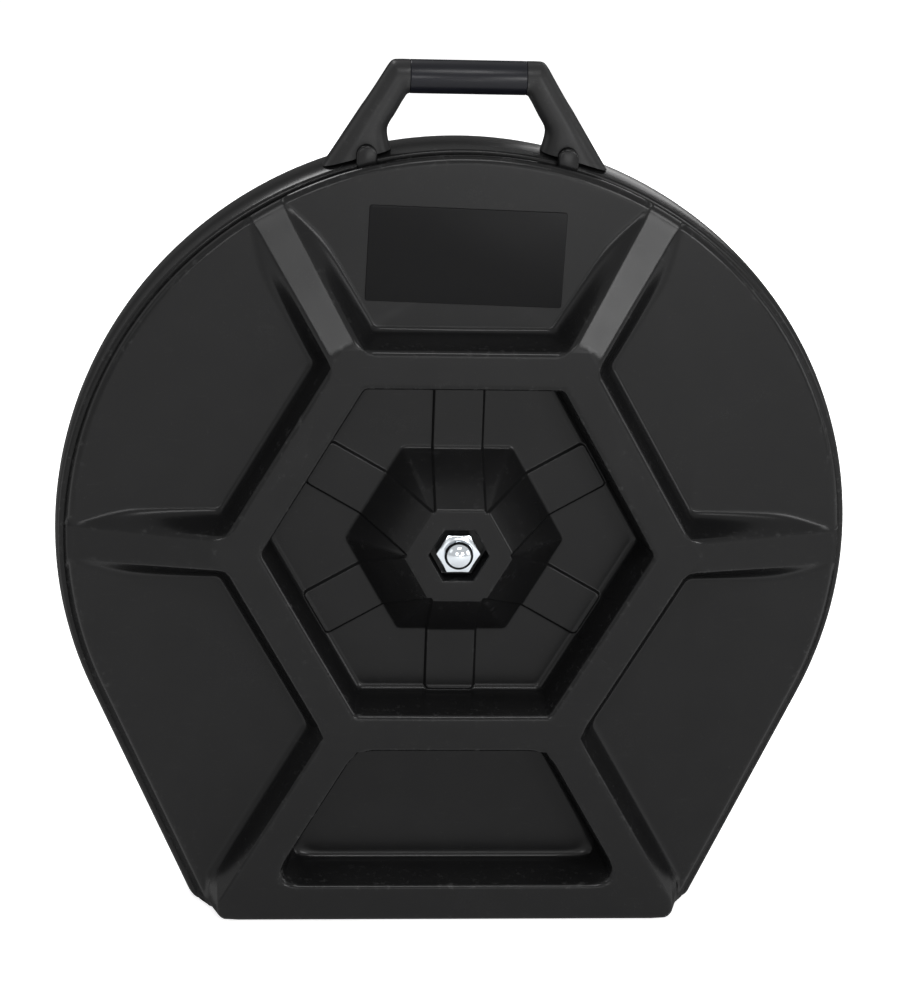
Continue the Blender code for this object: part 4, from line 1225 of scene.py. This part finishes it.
class Finish(NodeWork):
    """One material and the node tree that gives it its look."""

    def __init__(self, name):
        self.material = bpy.data.materials.new(name + "_finish")
        self.material.use_nodes = True
        super().__init__(self.material.node_tree)
        self.shader = self.tree.nodes["Principled BSDF"]

    def place(self):
        return self.node("ShaderNodeTexCoord", {}, {})["Object"]

    def noise(self, scale, detail=2.0, roughness=0.5, place=None):
        sockets = {"Vector": place or self.place(), "Scale": scale, "Detail": detail, "Roughness": roughness}
        return self.node("ShaderNodeTexNoise", {}, sockets)["Fac"]

    def stretched(self, scale, stretch, turn=(0, 0, 0), detail=3.0):
        """Noise drawn out along one direction, for scratches and brushing."""
        place = self.node("ShaderNodeMapping", {}, {"Vector": self.place(), "Scale": stretch, "Rotation": turn})
        return self.noise(scale, detail, 0.6, place["Vector"])

    def above(self, reading, low, high):
        """Zero below one value and one above another."""
        sockets = {"Value": reading, "From Min": low, "From Max": high}
        return self.node("ShaderNodeMapRange", {"interpolation_type": "SMOOTHSTEP"}, sockets)["Result"]

    def dull_edge_on(self, colour, normal):
        """Fade the gloss where the surface is seen nearly edge on, as grained plastic does."""
        facing = self.node("ShaderNodeLayerWeight", {}, {"Blend": 0.5})["Facing"]
        sockets = {"Base Color": colour, "Roughness": 1.0, "Specular IOR Level": 0.0, "Normal": normal}
        matte = self.node("ShaderNodeBsdfPrincipled", {}, sockets)["BSDF"]
        share = self.above(facing, 0.35, 0.75) * 0.9
        self.show("ShaderNodeMixShader", {0: share, 1: self.lit(), 2: matte})

    def lit(self):
        return Reading(self, self.shader.outputs["BSDF"])

    def show(self, kind, sockets):
        """Send a shader node that joins others to the material's output."""
        joined = self.node(kind, {}, sockets)["Shader"]
        self.fill(self.tree.nodes["Material Output"], "Surface", joined)

    def blend(self, share, first, second):
        settings = {"data_type": "RGBA", "clamp_factor": True}
        return self.node("ShaderNodeMix", settings, {"Factor": share, "A": first, "B": second})["Result"]

    def bump(self, height, strength, distance, normal=None):
        sockets = {"Height": height, "Strength": strength, "Distance": distance}
        if normal:
            sockets["Normal"] = normal
        return self.node("ShaderNodeBump", {}, sockets)["Normal"]

    def set(self, **values):
        for key, value in values.items():
            self.fill(self.shader, key.replace("_", " "), value)
        return self.material


def shade(name, factor=1.0):
    """A colour of the panel, made lighter or darker."""
    return (*[value * factor for value in getattr(bpy.context.scene.cymbal_case_colours, name)], 1)


def moulded_plastic(slot, name, gloss, grain_strength):
    """Satin black plastic: fine moulded grain, cloudy gloss, pale rubbed edges and specks."""
    finish = Finish(slot)
    cloud = finish.noise(6, 4)
    patch = finish.noise(34, 3)
    grain = finish.noise(1300, 2, 0.6)
    speck = finish.above(finish.noise(380, 1), 0.72, 0.78)
    rubbed = finish.node("ShaderNodeAttribute", {"attribute_name": "bend"}, {})["Fac"]
    scuff = finish.above(finish.stretched(45, (1, 1, 8), (0.3, 0.5, 0.2)), 0.64, 0.74)
    wear = rubbed * finish.above(finish.noise(150, 4, 0.75), 0.55, 0.70)
    pale = wear * 0.30 + scuff * 0.045 + speck * 0.07 + patch * 0.03 + rubbed * 0.02
    roughness = gloss + cloud * 0.10 + patch * 0.06 - grain * 0.06 - rubbed * 0.05
    ripple = finish.bump(cloud + patch * 0.2, 0.22, 0.0010)
    normal = finish.bump(grain, grain_strength, 0.00010, ripple)
    colour = finish.blend(pale, shade(name), shade("worn"))
    finish.dull_edge_on(colour, normal)
    return finish.set(Base_Color=colour, Roughness=roughness, Specular_IOR_Level=0.13, Normal=normal)


def rubber():
    """Soft black rubber, smeared by hands along the sleeve."""
    finish = Finish("grip_rubber")
    cloud = finish.noise(30, 3)
    grain = finish.noise(900, 2)
    lines = finish.stretched(90, (0.12, 1, 1), detail=4.0)
    smear = finish.above(lines, 0.45, 0.75)
    colour = finish.blend(cloud * 0.5 + smear * 0.4, shade("grip"), shade("grip", 2.2))
    normal = finish.bump(grain + lines * 0.8, 0.35, 0.00012)
    finish.dull_edge_on(colour, normal)
    return finish.set(Base_Color=colour, Roughness=0.24 + cloud * 0.14 - smear * 0.06, Specular_IOR_Level=0.17,
                      Normal=normal)


def metal(slot, name, dulled, gloss, brushed):
    """Plated or turned metal with fine lines and dull spots."""
    finish = Finish(slot)
    cloud = finish.noise(60, 4)
    lines = finish.stretched(220, (1, 14, 1))
    spot = finish.above(finish.noise(500, 2), 0.62, 0.74)
    return finish.set(Base_Color=finish.blend(cloud * 0.35 + spot * 0.35, shade(name), shade(name, dulled)),
                      Metallic=1.0, Roughness=gloss + cloud * 0.10 + lines * brushed + spot * 0.12,
                      Normal=finish.bump(lines + cloud, 0.12, 0.00006))


def film():
    """Smooth film with faint scratches."""
    finish = Finish("label_film")
    cloud = finish.noise(14, 3)
    grain = finish.noise(1100, 2)
    scratch = finish.above(finish.stretched(70, (1, 1, 12), (0.1, 0.9, 0.1)), 0.66, 0.70)
    return finish.set(Base_Color=finish.blend(cloud * 0.3 + scratch * 0.12, shade("label"), shade("label", 3)),
                      Roughness=0.28 + cloud * 0.12 + scratch * 0.1, Specular_IOR_Level=0.08,
                      Normal=finish.bump(grain + cloud * 2.0, 0.2, 0.00008))


def pressed_felt():
    """Grey felt of short fibres."""
    finish = Finish("felt")
    fibres = finish.noise(900, 4, 0.7) * 0.6 + finish.stretched(500, (1, 3, 1), (0.4, 0.2, 0.8)) * 0.4
    cloud = finish.noise(60, 3)
    return finish.set(Base_Color=finish.blend(fibres * 0.7 + cloud * 0.3, shade("felt", 0.8), shade("felt", 1.5)),
                      Roughness=0.95, Sheen_Weight=0.4, Sheen_Roughness=0.6, Specular_IOR_Level=0.2,
                      Normal=finish.bump(fibres, 0.8, 0.0005))


def cell_foam():
    """Dark foam with open cells."""
    finish = Finish("foam")
    cells = finish.node("ShaderNodeTexVoronoi", {"feature": "F1"}, {"Vector": finish.place(), "Scale": 700.0})
    cloud = finish.noise(25, 3)
    pits = cells["Distance"]
    return finish.set(Base_Color=finish.blend(pits * 0.8 + cloud * 0.2, shade("foam", 0.9), shade("foam", 2.8)),
                      Roughness=0.9, Specular_IOR_Level=0.25, Normal=finish.bump(pits + cloud, 0.7, 0.0005))


finishes = {
    "case_plastic": lambda: moulded_plastic("case_plastic", "case", gloss=0.20, grain_strength=0.10),
    "handle_plastic": lambda: moulded_plastic("handle_plastic", "handle", gloss=0.36, grain_strength=0.35),
    "knob_plastic": lambda: moulded_plastic("knob_plastic", "knob", gloss=0.38, grain_strength=0.40),
    "hub_plastic": lambda: moulded_plastic("hub_plastic", "hub", gloss=0.40, grain_strength=0.30),
    "grip_rubber": rubber,
    "label_film": film,
    "nut_chrome": lambda: metal("nut_chrome", "chrome", dulled=0.8, gloss=0.05, brushed=0.02),
    "zinc_steel": lambda: metal("zinc_steel", "steel", dulled=0.62, gloss=0.24, brushed=0.12),
    "insert_brass": lambda: metal("insert_brass", "brass", dulled=0.6, gloss=0.28, brushed=0.10),
    "felt": pressed_felt,
    "foam": cell_foam,
}


wear_reach = 12 * MM
full_bend = 0.35


def mark_edges(mesh):
    """Store how far the surface bends outwards at each vertex, for wear along the edges."""
    count = len(mesh.vertices)
    place, normals = np.empty(count * 3), np.empty(count * 3)
    mesh.vertices.foreach_get("co", place)
    mesh.vertex_normals.foreach_get("vector", normals)
    place, normals = place.reshape(-1, 3), normals.reshape(-1, 3)
    pairs = np.empty(len(mesh.edges) * 2, dtype=np.int64)
    mesh.edges.foreach_get("vertices", pairs)
    first, last = pairs.reshape(-1, 2).T
    line = place[last] - place[first]
    length = np.maximum(np.linalg.norm(line, axis=1), weld_distance)
    turn = ((normals[last] - normals[first]) * line).sum(axis=1) / length
    bend = np.zeros(count)
    for end in (first, last):
        np.maximum.at(bend, end, np.where(length < wear_reach, turn, 0))
    mark = mesh.attributes.new("bend", "FLOAT", "POINT")
    mark.data.foreach_set("value", np.clip(bend / full_bend, 0, 1).astype(np.float32))


# Stage

softbox_distance = 3.0
# Name, degrees to the right of the case's front, degrees above it, width and height in metres, power in watts
softboxes = (
    ("right_front_softbox", 23, 12, (0.6, 0.6), 26),
    ("left_front_softbox", -12, 12.5, (0.6, 0.6), 15),
    ("low_front_softbox", 8, -1, (0.6, 0.38), 5.5),
    ("right_softbox", 66, 12, (1.1, 1.1), 20),
    ("top_softbox", 5, 52, (1.1, 0.5), 29),
    ("left_softbox", -62, 25, (1.1, 1.1), 4),
    ("back_softbox", 160, 16, (0.9, 0.9), 40),
    ("high_back_softbox", -150, 48, (0.9, 0.9), 34),
)
world_level = 0.26
floor_glow = 0.80
floor_radius = 14.0
camera_lens = 125.9
camera_distance = 2.639
camera_target = (-8.29 * MM, -80 * MM, 345.98 * MM)
camera_azimuth, camera_elevation, camera_roll = (math.radians(angle) for angle in (-5.4, 17.18, 2.01))


def direction_to(azimuth, elevation):
    """A direction that leads away from the case, turned to the right of its front and upwards."""
    return Vector((math.sin(azimuth) * math.cos(elevation), -math.cos(azimuth) * math.cos(elevation),
                   math.sin(elevation)))


def add_lamp(name, degrees, elevation, size, power):
    """A softbox that looks at the middle of the case."""
    data = bpy.data.lights.new(name, "AREA")
    data.shape = "RECTANGLE"
    data.size, data.size_y = size
    data.energy = power
    lamp = bpy.data.objects.new(name, data)
    bpy.context.scene.collection.objects.link(lamp)
    away = direction_to(math.radians(degrees), math.radians(elevation))
    lamp.location = Vector((0, -40 * MM, axis_height)) + away * softbox_distance
    lamp.rotation_euler = away.to_track_quat("Z", "Y").to_euler()


def add_camera():
    """The photograph's viewpoint, fitted to the outline, the ring, the handle and the label."""
    back = direction_to(camera_azimuth, camera_elevation)
    right = (-back).cross(Vector((0, 0, 1))).normalized()
    up = right.cross(-back)
    across = right * math.cos(camera_roll) + up * math.sin(camera_roll)
    upright = up * math.cos(camera_roll) - right * math.sin(camera_roll)
    data = bpy.data.cameras.new("photo_camera")
    data.lens = camera_lens
    camera = bpy.data.objects.new("photo_camera", data)
    bpy.context.scene.collection.objects.link(camera)
    place = Matrix.Translation(Vector(camera_target) + back * camera_distance)
    camera.matrix_world = place @ Matrix((across, upright, back)).transposed().to_4x4()
    bpy.context.scene.camera = camera


def add_floor():
    """A pale floor that looks white but keeps the case's shadow."""
    bm = bmesh.new()
    bmesh.ops.create_circle(bm, cap_ends=True, segments=96, radius=floor_radius)
    floor = object_from(bm, "floor")
    finish = Finish("pale_floor")
    cloud = finish.noise(3, 3)
    finish.set(Base_Color=finish.blend(cloud * 0.2, shade("floor"), shade("floor", 0.95)), Roughness=0.9,
               Specular_IOR_Level=0.1)
    glow = finish.node("ShaderNodeEmission", {}, {"Strength": finish.seen_white() * floor_glow})["Emission"]
    finish.show("ShaderNodeAddShader", {0: finish.lit(), 1: glow})
    floor.data.materials.append(finish.material)


def add_studio():
    """World, softboxes and view settings."""
    scene = bpy.context.scene
    scene.view_settings.view_transform = "Standard"
    scene.world = bpy.data.worlds.new("studio")
    scene.world.use_nodes = True
    room = NodeWork(scene.world.node_tree)
    level = room.node("ShaderNodeMapRange", {}, {"Value": room.seen_white(), "To Min": world_level, "To Max": 1.0})
    background = room.tree.nodes["Background"]
    room.fill(background, "Color", (1, 1, 1, 1))
    room.fill(background, "Strength", level["Result"])
    for softbox in softboxes:
        add_lamp(*softbox)


class CYMBAL_CASE_OT_lid(bpy.types.Operator):
    """Mould the lid with its relief, boss and tabs"""
    bl_idname = "cymbal_case.lid"
    bl_label = "Lid"

    def execute(self, context):
        add_lid()
        return {"FINISHED"}


class CYMBAL_CASE_OT_body(bpy.types.Operator):
    """Mould the deeper half behind the lid"""
    bl_idname = "cymbal_case.body"
    bl_label = "Body"

    def execute(self, context):
        add_body()
        return {"FINISHED"}


class CYMBAL_CASE_OT_handle(bpy.types.Operator):
    """Make the handle's legs and its sleeve"""
    bl_idname = "cymbal_case.handle"
    bl_label = "Handle"

    def execute(self, context):
        add_handle()
        return {"FINISHED"}


class CYMBAL_CASE_OT_handle_fixings(bpy.types.Operator):
    """Make the bolts and washers that hold the handle"""
    bl_idname = "cymbal_case.handle_fixings"
    bl_label = "Handle Fixings"

    def execute(self, context):
        add_handle_fixings()
        return {"FINISHED"}


class CYMBAL_CASE_OT_label(bpy.types.Operator):
    """Make the bare film in the label's place"""
    bl_idname = "cymbal_case.label"
    bl_label = "Label"

    def execute(self, context):
        add_label()
        return {"FINISHED"}


class CYMBAL_CASE_OT_cap_nut(bpy.types.Operator):
    """Make the chromed nut with its dome"""
    bl_idname = "cymbal_case.cap_nut"
    bl_label = "Cap Nut"

    def execute(self, context):
        add_cap_nut()
        return {"FINISHED"}


class CYMBAL_CASE_OT_spindle(bpy.types.Operator):
    """Turn the stepped rod that carries the cymbals"""
    bl_idname = "cymbal_case.spindle"
    bl_label = "Spindle"

    def execute(self, context):
        add_spindle()
        return {"FINISHED"}


class CYMBAL_CASE_OT_hub(bpy.types.Operator):
    """Turn the spool that keeps the first cymbal clear"""
    bl_idname = "cymbal_case.hub"
    bl_label = "Hub"

    def execute(self, context):
        add_hub()
        return {"FINISHED"}


class CYMBAL_CASE_OT_wing_nut(bpy.types.Operator):
    """Make the nut that clamps the cymbals"""
    bl_idname = "cymbal_case.wing_nut"
    bl_label = "Wing Nut"

    def execute(self, context):
        add_wing_nut()
        return {"FINISHED"}


class CYMBAL_CASE_OT_knob(bpy.types.Operator):
    """Make the lobed knob on the back and its insert"""
    bl_idname = "cymbal_case.knob"
    bl_label = "Hand Knob"

    def execute(self, context):
        add_knob()
        return {"FINISHED"}


class CYMBAL_CASE_OT_rings(bpy.types.Operator):
    """Turn the plate behind the boss and the two steel washers"""
    bl_idname = "cymbal_case.rings"
    bl_label = "Plates and Washers"

    def execute(self, context):
        add_steel_rings()
        return {"FINISHED"}


class CYMBAL_CASE_OT_pads(bpy.types.Operator):
    """Make the felt washers and the foam pads"""
    bl_idname = "cymbal_case.pads"
    bl_label = "Felts and Foam"

    def execute(self, context):
        add_pads()
        return {"FINISHED"}


class CYMBAL_CASE_OT_stage(bpy.types.Operator):
    """Set up the camera, the floor, the softboxes and the world"""
    bl_idname = "cymbal_case.stage"
    bl_label = "Stage"

    def execute(self, context):
        add_camera()
        add_floor()
        add_studio()
        return {"FINISHED"}


class CYMBAL_CASE_PT_panel(bpy.types.Panel):
    """The case's sizes, colours and pieces"""
    bl_label = "Cymbal Case"
    bl_space_type = "VIEW_3D"
    bl_region_type = "UI"
    bl_category = "Case"

    def draw(self, context):
        for group in (context.scene.cymbal_case_sizes, context.scene.cymbal_case_colours):
            box = self.layout.box()
            for name in group.bl_rna.properties.keys():
                if name not in ("rna_type", "name"):
                    box.prop(group, name)
        for piece in pieces:
            self.layout.operator(piece.bl_idname)


pieces = (CYMBAL_CASE_OT_lid, CYMBAL_CASE_OT_body, CYMBAL_CASE_OT_handle, CYMBAL_CASE_OT_handle_fixings,
          CYMBAL_CASE_OT_label, CYMBAL_CASE_OT_cap_nut, CYMBAL_CASE_OT_spindle, CYMBAL_CASE_OT_hub,
          CYMBAL_CASE_OT_wing_nut, CYMBAL_CASE_OT_knob, CYMBAL_CASE_OT_rings, CYMBAL_CASE_OT_pads,
          CYMBAL_CASE_OT_stage)
groups = (CaseSizes, CaseColours)


def register():
    for group in groups + pieces + (CYMBAL_CASE_PT_panel,):
        bpy.utils.register_class(group)
    bpy.types.Scene.cymbal_case_sizes = bpy.props.PointerProperty(type=CaseSizes)
    bpy.types.Scene.cymbal_case_colours = bpy.props.PointerProperty(type=CaseColours)


def unregister():
    del bpy.types.Scene.cymbal_case_colours
    del bpy.types.Scene.cymbal_case_sizes
    for group in reversed(groups + pieces + (CYMBAL_CASE_PT_panel,)):
        bpy.utils.unregister_class(group)


def main():
    register()
    for piece in pieces:
        getattr(bpy.ops.cymbal_case, piece.bl_idname.split(".")[1])()


if __name__ == "__main__":
    main()
